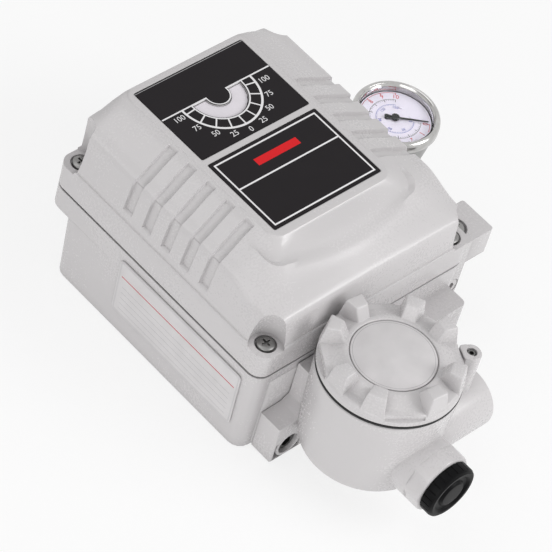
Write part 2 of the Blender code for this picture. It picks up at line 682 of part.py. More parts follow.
def make_terminal_housing():
    """Cast terminal box: a tapered drum with a flange, two conduit bosses and a lock lug."""
    drum = at_box(turned((
        (0.0, BOX_BOTTOM), (BOX_RADIUS - 0.0035, BOX_BOTTOM), (BOX_RADIUS - 0.0018, BOX_BOTTOM + 0.002),
        (BOX_RADIUS, BOX_TOP - 0.010), (BOX_RADIUS, BOX_TOP), (0.0, BOX_TOP),
    ), LARGE_ROUND))
    back_y = FRONT_Y - GAP
    flange_outline = (
        (BOX_X - FLANGE_HALF, 0.0), (BOX_X + FLANGE_HALF, 0.0), (BOX_X + FLANGE_HALF, 0.0240),
        (BOX_X + 0.0223, 0.0240), (BOX_X + 0.0129, 0.0300), (BOX_X - 0.0129, 0.0300),
        (BOX_X - 0.0223, 0.0240), (BOX_X - FLANGE_HALF, 0.0240),
    )
    flange = moved(
        prism([(x, z) for x, z in flange_outline], 0.0, back_y - FLANGE_FRONT),
        (0.0, back_y, 0.0), math.radians(90), "X",
    )
    neck = block(
        (BOX_X - 0.018, BOX_X + 0.018), (BOX_Y + 0.006, back_y - 0.0001),
        (BOX_BOTTOM + 0.001, 0.0480),
    )
    front_boss = along_y(
        rod(BOSS_RADIUS, (0.0, BOX_Y - 0.004 - FRONT_BOSS_END), MEDIUM_ROUND),
        (BOX_X, FRONT_BOSS_END, CONDUIT_Z),
    )
    side_boss_start = BOX_X + 0.007
    side_boss = along_x(
        rod(BOSS_RADIUS, (0.0, SIDE_BOSS_END - side_boss_start), MEDIUM_ROUND),
        (side_boss_start, SIDE_BOSS_Y, CONDUIT_Z),
    )
    lug = lock_spot()
    lug_post = rod(0.0048, (0.0445, 0.0720), SMALL_ROUND, lug)
    web = moved(
        block((BOX_RADIUS - 0.0034, LOCK_DISTANCE), (-0.0035, 0.0035), (0.0440, 0.0655)),
        (BOX_X, BOX_Y, 0.0), LOCK_ANGLE,
    )
    chamber = at_box(rod(CHAMBER_RADIUS, (CHAMBER_FLOOR, BOX_TOP + RUN_OUT), LARGE_ROUND))
    front_bore = along_y(
        rod(CONDUIT_RADIUS, (0.0, 0.035)), (BOX_X, FRONT_BOSS_END - RUN_OUT, CONDUIT_Z),
    )
    side_bore = along_x(
        rod(CONDUIT_RADIUS, (0.0, 0.035)), (SIDE_BOSS_END + RUN_OUT - 0.035, SIDE_BOSS_Y, CONDUIT_Z),
    )
    lead_bore = along_y(
        rod(LEAD_RADIUS + GAP, (0.0, 0.016), SMALL_ROUND), (BOX_X, -0.129, LEAD_Z),
    )
    bolt_bores = []
    for x in flange_bolts():
        bolt_bores.append(along_y(rod(0.0033, (0.0, 0.020), SMALL_ROUND), (x, -0.1300, FLANGE_BOLT_Z)))
        bolt_bores.append(along_y(rod(0.0058, (0.0, 0.010)), (x, -0.1300, FLANGE_BOLT_Z)))
    lock_bore = rod(0.0025, (0.0580, 0.0740), SMALL_ROUND, lug)
    material = finish("terminal_paint", (0.66, 0.65, 0.65), 0.35)
    add = (flange, neck, front_boss, side_boss, lug_post, web)
    cut = (front_bore, side_bore, lead_bore, *bolt_bores, lock_bore, chamber)
    return piece("terminal_housing", drum, material, add=add, cut=cut)


def lock_spot():
    """Where the cap's lock screw stands, beside the cap."""
    x = BOX_X + LOCK_DISTANCE * math.cos(LOCK_ANGLE)
    y = BOX_Y + LOCK_DISTANCE * math.sin(LOCK_ANGLE)
    return (x, y)


def make_flange_bolts():
    """Two socket-head bolts that hold the terminal box on the base."""
    bolts = []
    for number, x in enumerate(flange_bolts(), start=1):
        shape = turned((
            (0.0, 0.0), (0.0030, 0.0), (0.0030, 0.0090), (0.0050, 0.0090),
            (0.0050, 0.0144), (0.0046, 0.0149), (0.0, 0.0149),
        ), SMALL_ROUND)
        socket = hexagon(0.0050, (0.0119, 0.0170))
        material = finish(f"bolt_black_{number}", (0.04, 0.04, 0.04), 0.4, 1.0)
        bolt = piece(
            f"flange_bolt_{number}", shape, material,
            at=(x, FRONT_Y + 0.0034, FLANGE_BOLT_Z), turn=(math.radians(90), 0.0, 0.0), cut=(socket,),
        )
        bolts.append(bolt)
    return bolts


def make_cap_seal():
    """The rubber ring that shows as a black line under the cap."""
    bottom = BOX_TOP + GAP
    middle = bottom + SEAL_THICKNESS / 2
    top = bottom + SEAL_THICKNESS
    inner = CHAMBER_RADIUS + 0.0006
    ring = turned((
        (inner, bottom), (CAP_RADIUS - 0.0002, bottom), (CAP_RADIUS + 0.0002, middle),
        (CAP_RADIUS - 0.0002, top), (inner, top),
    ), LARGE_ROUND)
    material = finish("seal_rubber", (0.015, 0.015, 0.015), 0.6)
    return piece("cap_o_ring", ring, material, at=(BOX_X, BOX_Y, 0.0))


def cap_grip(angle):
    """One grip of the cap. It leans in on every side, most of all towards the cap's middle."""
    reach = CAP_RADIUS - 0.0004
    foot = ((CAP_RADIUS - 0.0143, 0.0035), (reach - 0.0013, 0.0060), (reach - 0.0005, 0.0052), (reach, 0.0))
    top = (
        (CAP_RADIUS - 0.0081, 0.00336), (reach - 0.0025, 0.0044),
        (reach - 0.0018, 0.0037), (reach - 0.00144, 0.0),
    )
    rings = []
    for half, z in ((foot, GRIP_FOOT), (top, GRIP_TOP)):
        right = [(x, -y, z) for x, y in half[:-1]]
        left = [(x, y, z) for x, y in reversed(half)]
        rings.append(right + left)
    return moved(loft(rings), turn=angle)


def make_cap():
    """Screwed cap: a hollow threaded skirt, a plate with four pairs of grips and a raised middle."""
    skirt = CHAMBER_RADIUS - 0.0005
    inner = skirt - 0.0042
    low = 0.0590
    shell = turned((
        (inner, low), (skirt, low), (skirt, CAP_BOTTOM), (CAP_RADIUS, CAP_BOTTOM),
        (CAP_RADIUS, CAP_BOTTOM + 0.0042), (CAP_RADIUS - 0.0014, CAP_PLATE_TOP),
        (CAP_RADIUS - 0.0050, CAP_PLATE_TOP), (DISC_RADIUS + 0.0029, CAP_TOP),
        (DISC_RADIUS + 0.0008, CAP_TOP),
        (DISC_RADIUS + 0.0004, CAP_TOP - 0.0012), (0.0, CAP_TOP - 0.0012), (0.0, 0.0700),
        (inner - 0.002, 0.0700), (inner, 0.0680),
    ), LARGE_ROUND)
    grips = []
    for number in range(CAP_GRIP_PAIRS):
        middle = CAP_GRIP_TURN + 2 * math.pi * number / CAP_GRIP_PAIRS
        grips += [cap_grip(middle - CAP_GRIP_SPREAD), cap_grip(middle + CAP_GRIP_SPREAD)]
    dish = rod(DISC_RADIUS + 0.0004, (CAP_TOP - 0.0012, GRIP_TOP + RUN_OUT), LARGE_ROUND)
    material = finish("cap_paint", (0.60, 0.59, 0.58), 0.3)
    return piece("terminal_cap", shell, material, at=(BOX_X, BOX_Y, 0.0), add=grips, cut=(dish,))


def make_cap_disc():
    """The printed disc in the cap's middle, bare here."""
    bottom = CAP_TOP - 0.0012 + GAP
    disc = rod(DISC_RADIUS, (bottom, bottom + 0.0006), LARGE_ROUND)
    material = finish("cap_disc_print", (0.68, 0.67, 0.66), 0.35)
    return piece("cap_disc", disc, material, at=(BOX_X, BOX_Y, 0.0))


def make_lock_screw():
    """Socket grub screw that keeps the cap from turning."""
    shape = rod(0.0021, (0.0590, 0.0714), SMALL_ROUND)
    socket = hexagon(0.0020, (0.0690, 0.0734))
    material = finish("grub_steel", (0.20, 0.20, 0.20), 0.4, 1.0)
    return piece("cap_lock_screw", shape, material, at=(*lock_spot(), 0.0), cut=(socket,))


def make_conduit_plug():
    """Black plastic plug in the front conduit boss, hollow behind its head."""
    shank = CONDUIT_RADIUS - GAP
    head = 0.0138
    seat = -GAP
    shape = turned((
        (0.0, -0.0068), (0.0062, -0.0068), (0.0070, -0.0060), (0.0100, -0.0060),
        (0.0108, -0.0066), (head - 0.0010, -0.0062), (head, -0.0050), (head, seat),
        (shank, seat), (shank, 0.0130), (shank - 0.0020, 0.0130), (shank - 0.0020, -0.0030),
        (0.0, -0.0030),
    ), MEDIUM_ROUND)
    material = finish("plug_plastic", (0.015, 0.015, 0.016), 0.35)
    place = (BOX_X, FRONT_BOSS_END, CONDUIT_Z)
    return piece("conduit_plug", shape, material, at=place, turn=(math.radians(-90), 0.0, 0.0))


def make_terminal_strip():
    """Terminal block on the chamber's floor, with barriers between its three ways."""
    half = 0.015
    body = slab((-half, half), (-0.0075, 0.0075), (CHAMBER_FLOOR + GAP, 0.0340), 0.001, 2)
    barriers = [block((x - 0.0006, x + 0.0006), (-0.0075, 0.0075), (0.0330, 0.0375))
                for x in (-half + 0.0006, -0.0050, 0.0050, half - 0.0006)]
    clamps = [rod(0.0024, (0.0330, 0.0352), SMALL_ROUND, (x, 0.0)) for x in (-0.0099, 0.0, 0.0099)]
    material = finish("terminal_plastic", (0.05, 0.05, 0.05), 0.5)
    place = (BOX_X, BOX_Y + 0.002, 0.0)
    return piece("terminal_strip", body, material, at=place, add=(together(*barriers, *clamps),))


def make_lead_through():
    """Potted bush that carries the wires from the terminal chamber into the housing."""
    shape = turned((
        (0.0, -0.0075), (LEAD_RADIUS - 0.0005, -0.0075), (LEAD_RADIUS, -0.0070),
        (LEAD_RADIUS, 0.0100), (0.0, 0.0100),
    ), SMALL_ROUND)
    material = finish("bush_brass", (0.55, 0.42, 0.20), 0.3, 1.0)
    place = (BOX_X, FRONT_Y, LEAD_Z)
    return piece("lead_through_bush", shape, material, at=place, turn=(math.radians(-90), 0.0, 0.0))


def make_pilot_block():
    """Pilot valve block on the right wall, with supply port, gauge boss and spool bore."""
    body = slab(BLOCK_X, (BLOCK_Y[0], BLOCK_STEP_Y), BLOCK_Z, 0.0015, 2)
    low = block(
        (BLOCK_X[0] + 0.0001, BLOCK_X[1] - 0.0001), (BLOCK_STEP_Y - 0.004, BLOCK_Y[1]),
        (BLOCK_Z[0] + 0.0001, BLOCK_LOW_TOP),
    )
    supply = loft([
        rectangle((BLOCK_X[1] - 0.0023, SUPPLY_END), SUPPLY_Y, 0.0012, z, 2)
        for z in (SUPPLY_BOTTOM, BLOCK_Z[1] - 0.0001)
    ])
    gauge_boss = rod(0.0100, (BLOCK_Z[0] + 0.0002, BLOCK_LOW_TOP + 0.0003), ROUND, (GAUGE_X, GAUGE_Y))
    web = block(
        (BLOCK_X[1] - 0.0013, GAUGE_X), (GAUGE_Y - 0.008, GAUGE_Y + 0.008),
        (BLOCK_Z[0] + 0.001, BLOCK_LOW_TOP - 0.001),
    )
    supply_y = (SUPPLY_Y[0] + SUPPLY_Y[1]) / 2
    supply_bore = along_x(rod(PORT_RADIUS, (0.0, 0.0092 + RUN_OUT)), (SUPPLY_END - 0.0092, supply_y, 0.0430))
    outlet_bore = along_x(rod(PORT_RADIUS, (0.0, 0.0080 + RUN_OUT)), (BLOCK_X[1] - 0.0080, -0.0765, 0.0340))
    spool_bore = along_y(
        rod(SPOOL_BORE, (0.0, BLOCK_Y[1] - BLOCK_Y[0] + 2 * RUN_OUT)),
        (SPOOL_X, BLOCK_Y[0] - RUN_OUT, SPOOL_Z),
    )
    gauge_bore = rod(0.0048, (0.0160, 0.0330), ROUND, (GAUGE_X, GAUGE_Y))
    auto_seat = moved(turned((
        (0.0, 0.0400), (0.0028, 0.0400), (0.0028, 0.0485), (0.0062, 0.0485),
        (0.0062, 0.0530), (0.0, 0.0530),
    )), (AUTO_X, AUTO_Y, 0.0))
    screw_bores = []
    for y, z in block_screws():
        screw_bores.append(along_x(rod(0.0027, (0.0, 0.0200), SMALL_ROUND), (HALF_X - 0.0022, y, z)))
        screw_bores.append(along_x(rod(0.0045, (0.0, 0.0070), SMALL_ROUND), (BLOCK_X[1] - 0.0048, y, z)))
    material = finish("pilot_paint", (0.66, 0.65, 0.65), 0.35)
    add = (low, supply, gauge_boss, web)
    cut = (supply_bore, outlet_bore, spool_bore, gauge_bore, auto_seat, *screw_bores)
    return piece("pilot_block", body, material, add=add, cut=cut)


def make_block_screws():
    """Two socket-head screws through the pilot block."""
    screws = []
    for number, (y, z) in enumerate(block_screws(), start=1):
        shape = turned((
            (0.0, 0.0), (0.0024, 0.0), (0.0024, 0.0120), (0.0042, 0.0120), (0.0042, 0.0162), (0.0, 0.0162),
        ), SMALL_ROUND)
        socket = hexagon(0.0040, (0.0138, 0.0180))
        material = finish(f"block_screw_steel_{number}", (0.25, 0.25, 0.25), 0.4, 1.0)
        place = (HALF_X - 0.0034, y, z)
        screws.append(piece(
            f"block_screw_{number}", shape, material, at=place,
            turn=(0.0, math.radians(90), 0.0), cut=(socket,),
        ))
    return screws


def make_auto_screw():
    """The auto/manual change-over screw on the pilot block's top."""
    shape = turned((
        (0.0, 0.0), (0.0025, 0.0), (0.0025, 0.0078), (0.0052, 0.0078), (0.0052, 0.0096),
        (0.0044, 0.0104), (0.0024, 0.0108), (0.0, 0.0108),
    ))
    recess = cross_recess(0.0056, 0.0013, (0.0090, 0.0130))
    material = finish("auto_screw_steel", (0.45, 0.44, 0.43), 0.35, 1.0)
    return piece("auto_manual_screw", shape, material, at=(AUTO_X, AUTO_Y, 0.0410), cut=(recess,))


def make_spool():
    """Pilot spool with three lands, its return spring and the two plugs of its bore."""
    land = SPOOL_BORE - GAP
    neck = 0.0032
    profile = [(0.0, 0.0)]
    for start, end, radius in (
        (0.0, 0.0100, land), (0.0100, 0.0180, neck), (0.0180, 0.0270, land),
        (0.0270, 0.0360, neck), (0.0360, 0.0480, land),
    ):
        profile.extend(((radius, start), (radius, end)))
    profile.append((0.0, 0.0480))
    spool_y = -0.0950
    turn_y = (math.radians(-90), 0.0, 0.0)
    steel = finish("spool_steel", (0.60, 0.60, 0.60), 0.2, 1.0)
    spool = piece(
        "pilot_spool", turned(profile, SMALL_ROUND), steel,
        at=(SPOOL_X, spool_y, SPOOL_Z), turn=turn_y,
    )
    spring_start = spool_y + 0.0480 + GAP
    spring_length = BLOCK_Y[1] - 0.0105 - spring_start
    wire = finish("return_spring_steel", (0.50, 0.50, 0.50), 0.3, 1.0)
    spring = coil_object("spool_spring", 0.0036, 0.0005, spring_length, 5, wire)
    spring.location = (SPOOL_X, spring_start, SPOOL_Z)
    spring.rotation_euler = turn_y
    plugs = []
    for number, place in enumerate((BLOCK_Y[0] + GAP, BLOCK_Y[1] - 0.0100 - GAP), start=1):
        shape = rod(land, (0.0, 0.0100), SMALL_ROUND)
        drive = (-0.0010, 0.0040) if number == 1 else (0.0060, 0.0110)
        plug_metal = finish(f"end_plug_brass_{number}", (0.55, 0.42, 0.20), 0.3, 1.0)
        plugs.append(piece(
            f"pilot_end_plug_{number}", shape, plug_metal, at=(SPOOL_X, place, SPOOL_Z),
            turn=turn_y, cut=(hexagon(0.0050, drive),),
        ))
    return [spool, spring, *plugs]


def coil_object(name, radius, wire, length, turns, material, steps=8, sides=4):
    """A helical spring along Z, as a tube swept round its helix, with closed ends."""
    rings = []
    count = turns * steps
    rise = (length - 2 * wire) / count
    for index in range(count + 1):
        angle = 2 * math.pi * index / steps
        centre = Vector((radius * math.cos(angle), radius * math.sin(angle), wire + rise * index))
        outward = Vector((math.cos(angle), math.sin(angle), 0.0))
        ring = []
        for side in range(sides):
            around = 2 * math.pi * side / sides
            offset = outward * (wire * math.cos(around)) + Vector((0.0, 0.0, wire * math.sin(around)))
            ring.append(centre + offset)
        rings.append(ring)
    return piece(name, loft(rings), material)


def at_gauge():
    """The gauge's axis, as a place."""
    return (GAUGE_X, GAUGE_Y, 0.0)


def make_gauge():
    """Pressure gauge: brass stem, steel case and bezel, dial, glass and pointer."""
    stem_top = CASE_BOTTOM - 0.0003
    stem = turned((
        (0.0, 0.0180), (0.0045, 0.0180), (0.0045, BLOCK_LOW_TOP + 0.0006), (0.0070, BLOCK_LOW_TOP + 0.0006),
        (0.0070, stem_top), (0.0, stem_top),
    ))
    flats = []
    for number in range(6):
        flat = block((0.0062, 0.0090), (-0.006, 0.006), (BLOCK_LOW_TOP, stem_top + RUN_OUT))
        flats.append(moved(flat, turn=math.radians(60 * number)))
    brass = finish("stem_brass", (0.60, 0.45, 0.22), 0.3, 1.0)
    stem_piece = piece("gauge_stem", stem, brass, at=at_gauge(), cut=flats)

    bezel_bottom = GAUGE_TOP - BEZEL_HEIGHT
    wall = 0.0012
    inner = BEZEL_RADIUS - 0.0035
    foot = BEZEL_RADIUS - 0.0047
    rim = BEZEL_RADIUS - 0.0012
    case_top = bezel_bottom - GAP
    case = turned((
        (0.0, CASE_BOTTOM), (foot - 0.0015, CASE_BOTTOM), (foot, CASE_BOTTOM + 0.0015), (rim, case_top),
        (rim - wall, case_top), (foot - wall, CASE_BOTTOM + 0.0030), (0.0, CASE_BOTTOM + 0.0030),
    ), LARGE_ROUND)
    steel = finish("gauge_case_steel", (0.55, 0.55, 0.54), 0.35, 1.0)
    case_piece = piece("gauge_case", case, steel, at=at_gauge())

    bezel = turned((
        (inner, bezel_bottom), (BEZEL_RADIUS - 0.0006, bezel_bottom), (BEZEL_RADIUS, bezel_bottom + 0.0006),
        (BEZEL_RADIUS, GAUGE_TOP - 0.0020), (BEZEL_RADIUS - 0.0012, GAUGE_TOP - 0.0004),
        (BEZEL_RADIUS - 0.0022, GAUGE_TOP), (inner + 0.0006, GAUGE_TOP - 0.0003), (inner, GAUGE_TOP - 0.0012),
    ), LARGE_ROUND)
    chrome = finish("bezel_chrome", (0.75, 0.75, 0.74), 0.12, 1.0)
    bezel_piece = piece("gauge_bezel", bezel, chrome, at=at_gauge())

    dial_bottom = bezel_bottom + 0.0002
    dial = rod(inner - GAP, (dial_bottom, dial_bottom + 0.0008), LARGE_ROUND)
    dial_top = dial_bottom + 0.0008
    hole = rod(0.0012, (dial_bottom - RUN_OUT, dial_top + RUN_OUT), SMALL_ROUND)
    screws = [rod(0.0011, (dial_top - 0.0003, dial_top + 0.0005), SMALL_ROUND, spot)
              for spot in ((0.0076, 0.0038), (0.0076, -0.0038))]
    white = finish("gauge_dial_white", (0.85, 0.83, 0.88), 0.4)
    dial_piece = piece("gauge_dial", dial, white, at=at_gauge(), add=(together(*screws),), cut=(hole,))

    glass_top = GAUGE_TOP - 0.0012
    glass = rod(inner - GAP, (glass_top - 0.0012, glass_top), LARGE_ROUND)
    clear = finish("gauge_glass_clear", (0.95, 0.95, 0.96), 0.03)
    glass_piece = piece("gauge_glass", glass, clear, at=at_gauge())

    pointer_z = dial_top + 0.0007
    blade = prism((
        (-0.0052, -0.0012), (-0.0042, -0.0014), (-0.0010, -0.0005), (0.0160, -0.0002),
        (0.0160, 0.0002), (-0.0010, 0.0005), (-0.0042, 0.0014), (-0.0052, 0.0012),
    ), 0.0, 0.0005)
    hub = turned((
        (0.0, -0.0016), (0.0009, -0.0016), (0.0009, -0.0002), (0.0020, -0.0002),
        (0.0020, 0.0010), (0.0014, 0.0013), (0.0, 0.0013),
    ), SMALL_ROUND)
    black = finish("pointer_black", (0.01, 0.01, 0.01), 0.4)
    place = (GAUGE_X, GAUGE_Y, pointer_z)
    pointer = piece("gauge_pointer", blade, black, at=place, turn=(0.0, 0.0, POINTER_REST), add=(hub,))
    return [stem_piece, case_piece, bezel_piece, dial_piece, glass_piece, pointer]


def make_shaft():
    """Main shaft with two drive flats, a shoulder for the cam and a bored upper end."""
    shape = turned((
        (0.0, 0.0), (DRIVE_RADIUS - 0.0005, 0.0), (DRIVE_RADIUS, 0.0005), (DRIVE_RADIUS, DRIVE_TOP),
        (SHAFT_RADIUS, DRIVE_TOP), (SHAFT_RADIUS, SHAFT_BOSS_TOP + 0.0026),
        (SHOULDER_RADIUS, SHAFT_BOSS_TOP + 0.0026), (SHOULDER_RADIUS, CAM_Z[0] - GAP),
        (THREAD_RADIUS, CAM_Z[0] - GAP), (THREAD_RADIUS, SHAFT_TOP - GAP), (0.0, SHAFT_TOP - GAP),
    ))
    flat_x = (-DRIVE_RADIUS - RUN_OUT, DRIVE_RADIUS + RUN_OUT)
    flat_z = (-RUN_OUT, DRIVE_TOP - 0.0010)
    near, far = DRIVE_FLATS / 2, DRIVE_RADIUS + RUN_OUT
    flats = together(block(flat_x, (near, far), flat_z), block(flat_x, (-far, -near), flat_z))
    tapping = rod(0.0018, (0.0740, SHAFT_TOP + RUN_OUT), SMALL_ROUND)
    material = finish("shaft_stainless", (0.60, 0.60, 0.59), 0.25, 1.0)
    return piece("main_shaft", shape, material, cut=(flats, tapping))


def make_shaft_bushes():
    """Two flanged bronze bushes that carry the shaft in the base."""
    inner = SHAFT_RADIUS + GAP
    low, high = 0.0045, SHAFT_BOSS_TOP
    middle = (low + high) / 2
    lower = turned((
        (inner, low), (BUSH_RADIUS, low), (BUSH_RADIUS, middle - GAP / 2), (inner, middle - GAP / 2),
    ))
    upper = turned((
        (inner, middle + GAP / 2), (BUSH_RADIUS, middle + GAP / 2), (BUSH_RADIUS, high + GAP),
        (0.0110, high + GAP), (0.0110, high + 0.0023), (inner, high + 0.0023),
    ))
    bronze = [finish(f"bush_bronze_{number}", (0.50, 0.36, 0.16), 0.35, 1.0) for number in (1, 2)]
    return piece("shaft_bush_lower", lower, bronze[0]), piece("shaft_bush_upper", upper, bronze[1])


def roller_centre(shaft_turn):
    """Where the roller's axis stands when the shaft has turned from its zero."""
    angle = LEVER_START + LEVER_TRAVEL * shaft_turn / SHAFT_TRAVEL
    return LEVER_PIVOT + LEVER_LENGTH * Vector((math.cos(angle), math.sin(angle)))


def cam_outline(steps=32):
    """The cam's edge: it keeps one roller radius and a small gap from the roller's path.

    The path is the roller's centre as the turning cam sees it, so that equal turns of the shaft
    give equal turns of the lever. Outside that stretch a plain arc closes the back of the cam.
    """
    overrun = math.radians(8)
    reach = ROLLER_RADIUS + GAP
    path = []
    for index in range(-1, steps + 2):
        turn = -overrun + (SHAFT_TRAVEL + 2 * overrun) * index / steps
        centre = roller_centre(turn)
        path.append(Matrix.Rotation(-turn, 2) @ centre)
    edge = []
    for before, here, after in zip(path, path[1:], path[2:]):
        along = (after - before).normalized()
        across = Vector((-along.y, along.x))
        if across.dot(here) > 0:
            across = -across
        edge.append(here + across * reach)
    back_radius = 0.0098
    back_steps = 24
    blend_steps = 5
    start = math.atan2(edge[-1].y, edge[-1].x)
    end = math.atan2(edge[0].y, edge[0].x)
    if end > start:
        start += 2 * math.pi
    back = []
    for index in range(1, back_steps):
        angle = start + (end - start) * index / back_steps
        fall = max(0.0, 1 - index / blend_steps) ** 2
        rise = max(0.0, 1 - (back_steps - index) / blend_steps)
        radius = back_radius + fall * (edge[-1].length - back_radius) + rise * (edge[0].length - back_radius)
        back.append(Vector((radius * math.cos(angle), radius * math.sin(angle))))
    return edge, back


def make_cam():
    """Spiral plate cam that turns the shaft's 90 degrees into 20 degrees of the lever."""
    edge, back = cam_outline()
    outline = [tuple(point) for point in edge + back]
    bore = rod(THREAD_RADIUS + GAP, (CAM_Z[0] - RUN_OUT, CAM_Z[1] + RUN_OUT))
    material = finish("cam_stainless", (0.62, 0.62, 0.61), 0.3, 1.0)
    return piece("cam", prism(outline, *CAM_Z), material, cut=(bore,))


def make_cam_nut():
    """Hexagon nut that clamps the cam against the shaft's shoulder."""
    bottom = CAM_Z[1] + GAP
    nut = hexagon(0.0150, (bottom, bottom + 0.0050))
    bore = rod(THREAD_RADIUS + GAP, (bottom - RUN_OUT, bottom + 0.0050 + RUN_OUT))
    material = finish("nut_zinc", (0.60, 0.58, 0.50), 0.35, 1.0)
    return piece("cam_nut", nut, material, cut=(bore,))


def make_indicator():
    """Position indicator under the window: a hub, a disc and a raised pointer mark."""
    bore = THREAD_RADIUS + GAP
    shape = turned((
        (bore, 0.0790), (0.0080, 0.0790), (0.0080, INDICATOR_Z[0]), (0.0160, INDICATOR_Z[0]),
        (0.0160, INDICATOR_Z[1]), (bore, INDICATOR_Z[1]),
    ), MEDIUM_ROUND)
    mark = prism(
        ((0.0072, -0.0022), (0.0150, 0.0), (0.0072, 0.0022)),
        INDICATOR_Z[1] - 0.0005, INDICATOR_Z[1] + 0.0005,
    )
    mark = moved(mark, turn=math.radians(-90))
    material = finish("indicator_plastic", (0.80, 0.78, 0.80), 0.4)
    disc = piece("position_indicator", shape, material, add=(mark,))
    screw = turned((
        (0.0, 0.0760), (0.0015, 0.0760), (0.0015, SHAFT_TOP + GAP), (0.0062, SHAFT_TOP + GAP),
        (0.0062, SHAFT_TOP + 0.0012), (0.0050, SHAFT_TOP + 0.0020), (0.0, SHAFT_TOP + 0.0020),
    ), SMALL_ROUND)
    recess = cross_recess(0.0040, 0.0010, (SHAFT_TOP + 0.0011, SHAFT_TOP + 0.0040))
    steel = finish("indicator_screw_steel", (0.5, 0.5, 0.5), 0.35, 1.0)
    return disc, piece("indicator_screw", screw, steel, cut=(recess,))


def make_lever():
    """Feedback lever with its pin, ring, roller and roller pin, drawn round the lever's pivot."""
    arm = roller_centre(0.0) - LEVER_PIVOT
    low, high = LEVER_Z
    hub_low = CAM_Z[0]
    half = 0.0035
    bar = block((0.0, LEVER_LENGTH), (-half, half), LEVER_Z)
    bar = moved(bar, turn=LEVER_START)
    eye = rod(half + 0.0002, (low - 0.00005, high + 0.00005), SMALL_ROUND, (arm.x, arm.y))
    tail = block((-0.0030, 0.0030), (-TAIL_LENGTH, 0.0), (low + 0.0001, high - 0.0001))
    tail_eye = rod(0.0032, (low + 0.00005, high - 0.00005), SMALL_ROUND, (0.0, -TAIL_LENGTH))
    tail_pin = rod(0.0015, (low + 0.0010, SPRING_Z + 0.0020), SMALL_ROUND, (0.0, -TAIL_LENGTH))
    hub = rod(0.0062, (hub_low, high + 0.0002))
    bores = together(
        rod(0.0033, (hub_low - RUN_OUT, high + RUN_OUT)),
        rod(0.0018, (low - RUN_OUT, high + RUN_OUT), SMALL_ROUND, (arm.x, arm.y)),
    )
    steel = finish("lever_steel", (0.58, 0.57, 0.55), 0.35, 1.0)
    place = (*LEVER_PIVOT, 0.0)
    lever = piece(
        "feedback_lever", hub, steel, at=place, add=(bar, eye, tail, tail_eye, tail_pin), cut=(bores,),
    )
    pin = turned((
        (0.0, 0.0420), (0.0030, 0.0420), (0.0030, 0.0503), (0.0052, 0.0503), (0.0052, hub_low - GAP),
        (0.0030, hub_low - GAP), (0.0030, 0.0650), (0.0, 0.0650),
    ))
    pivot = piece("lever_pivot_pin", pin, finish("pivot_steel", (0.6, 0.6, 0.6), 0.25, 1.0), at=place)
    ring = turned((
        (0.0033, high + 0.0005), (0.0055, high + 0.0005), (0.0055, high + 0.0013), (0.0033, high + 0.0013),
    ))
    spring_steel = finish("ring_steel", (0.25, 0.25, 0.25), 0.3, 1.0)
    retainer = piece("lever_retaining_ring", ring, spring_steel, at=place)

    axis = roller_centre(0.0)
    roller_place = (axis.x, axis.y, 0.0)
    roller = turned((
        (0.0018, CAM_Z[0] - 0.0003), (ROLLER_RADIUS, CAM_Z[0] - 0.0003), (ROLLER_RADIUS, CAM_Z[1] + 0.0003),
        (0.0018, CAM_Z[1] + 0.0003),
    ))
    brass = finish("roller_brass", (0.58, 0.44, 0.20), 0.3, 1.0)
    roller_piece = piece("cam_roller", roller, brass, at=roller_place)
    rivet = turned((
        (0.0, 0.0552), (0.0028, 0.0552), (0.0028, 0.0564), (0.0015, 0.0564), (0.0015, high + 0.0004),
        (0.0028, high + 0.0004), (0.0028, high + 0.0014), (0.0, high + 0.0014),
    ), SMALL_ROUND)
    rivet_steel = finish("roller_pin_steel", (0.6, 0.6, 0.6), 0.25, 1.0)
    return [lever, pivot, retainer, roller_piece, piece("roller_pin", rivet, rivet_steel, at=roller_place)]


def make_feedback_spring():
    """Tension spring from the lever's tail to the armature's post, with an eye at each end."""
    start = Vector((LEVER_PIVOT.x, LEVER_PIVOT.y - TAIL_LENGTH, SPRING_Z))
    end = Vector((MOTOR_X, start.y, SPRING_Z))
    eye = 0.0015 + GAP + 0.0005
    coil_radius = 0.0028
    turns = 8
    steps = 8
    route = []
    for index in range(9):
        angle = math.radians(25 + 310 * index / 8) + math.pi
        route.append(start + Vector((-eye * math.cos(angle), eye * math.sin(angle), 0.0)))
    coil_start = start.x + 0.0090
    coil_end = end.x - 0.0090
    for index in range(turns * steps + 1):
        angle = 2 * math.pi * index / steps
        x = coil_start + (coil_end - coil_start) * index / (turns * steps)
        y = start.y + coil_radius * math.sin(angle)
        route.append(Vector((x, y, SPRING_Z + coil_radius * math.cos(angle))))
    for index in range(9):
        angle = math.radians(25 + 310 * index / 8) + math.pi
        route.append(end + Vector((eye * math.cos(angle), eye * math.sin(angle), 0.0)))
    curve = bpy.data.curves.new("feedback_spring", "CURVE")
    curve.dimensions = "3D"
    curve.bevel_depth = 0.0005
    curve.bevel_resolution = 0
    curve.use_fill_caps = True
    spline = curve.splines.new("POLY")
    spline.points.add(len(route) - 1)
    for point, spot in zip(spline.points, route):
        point.co = (*spot, 1.0)
    spring = bpy.data.objects.new("feedback_spring", curve)
    curve.materials.append(finish("feedback_spring_steel", (0.5, 0.5, 0.5), 0.3, 1.0))
    bpy.context.scene.collection.objects.link(spring)
    return spring


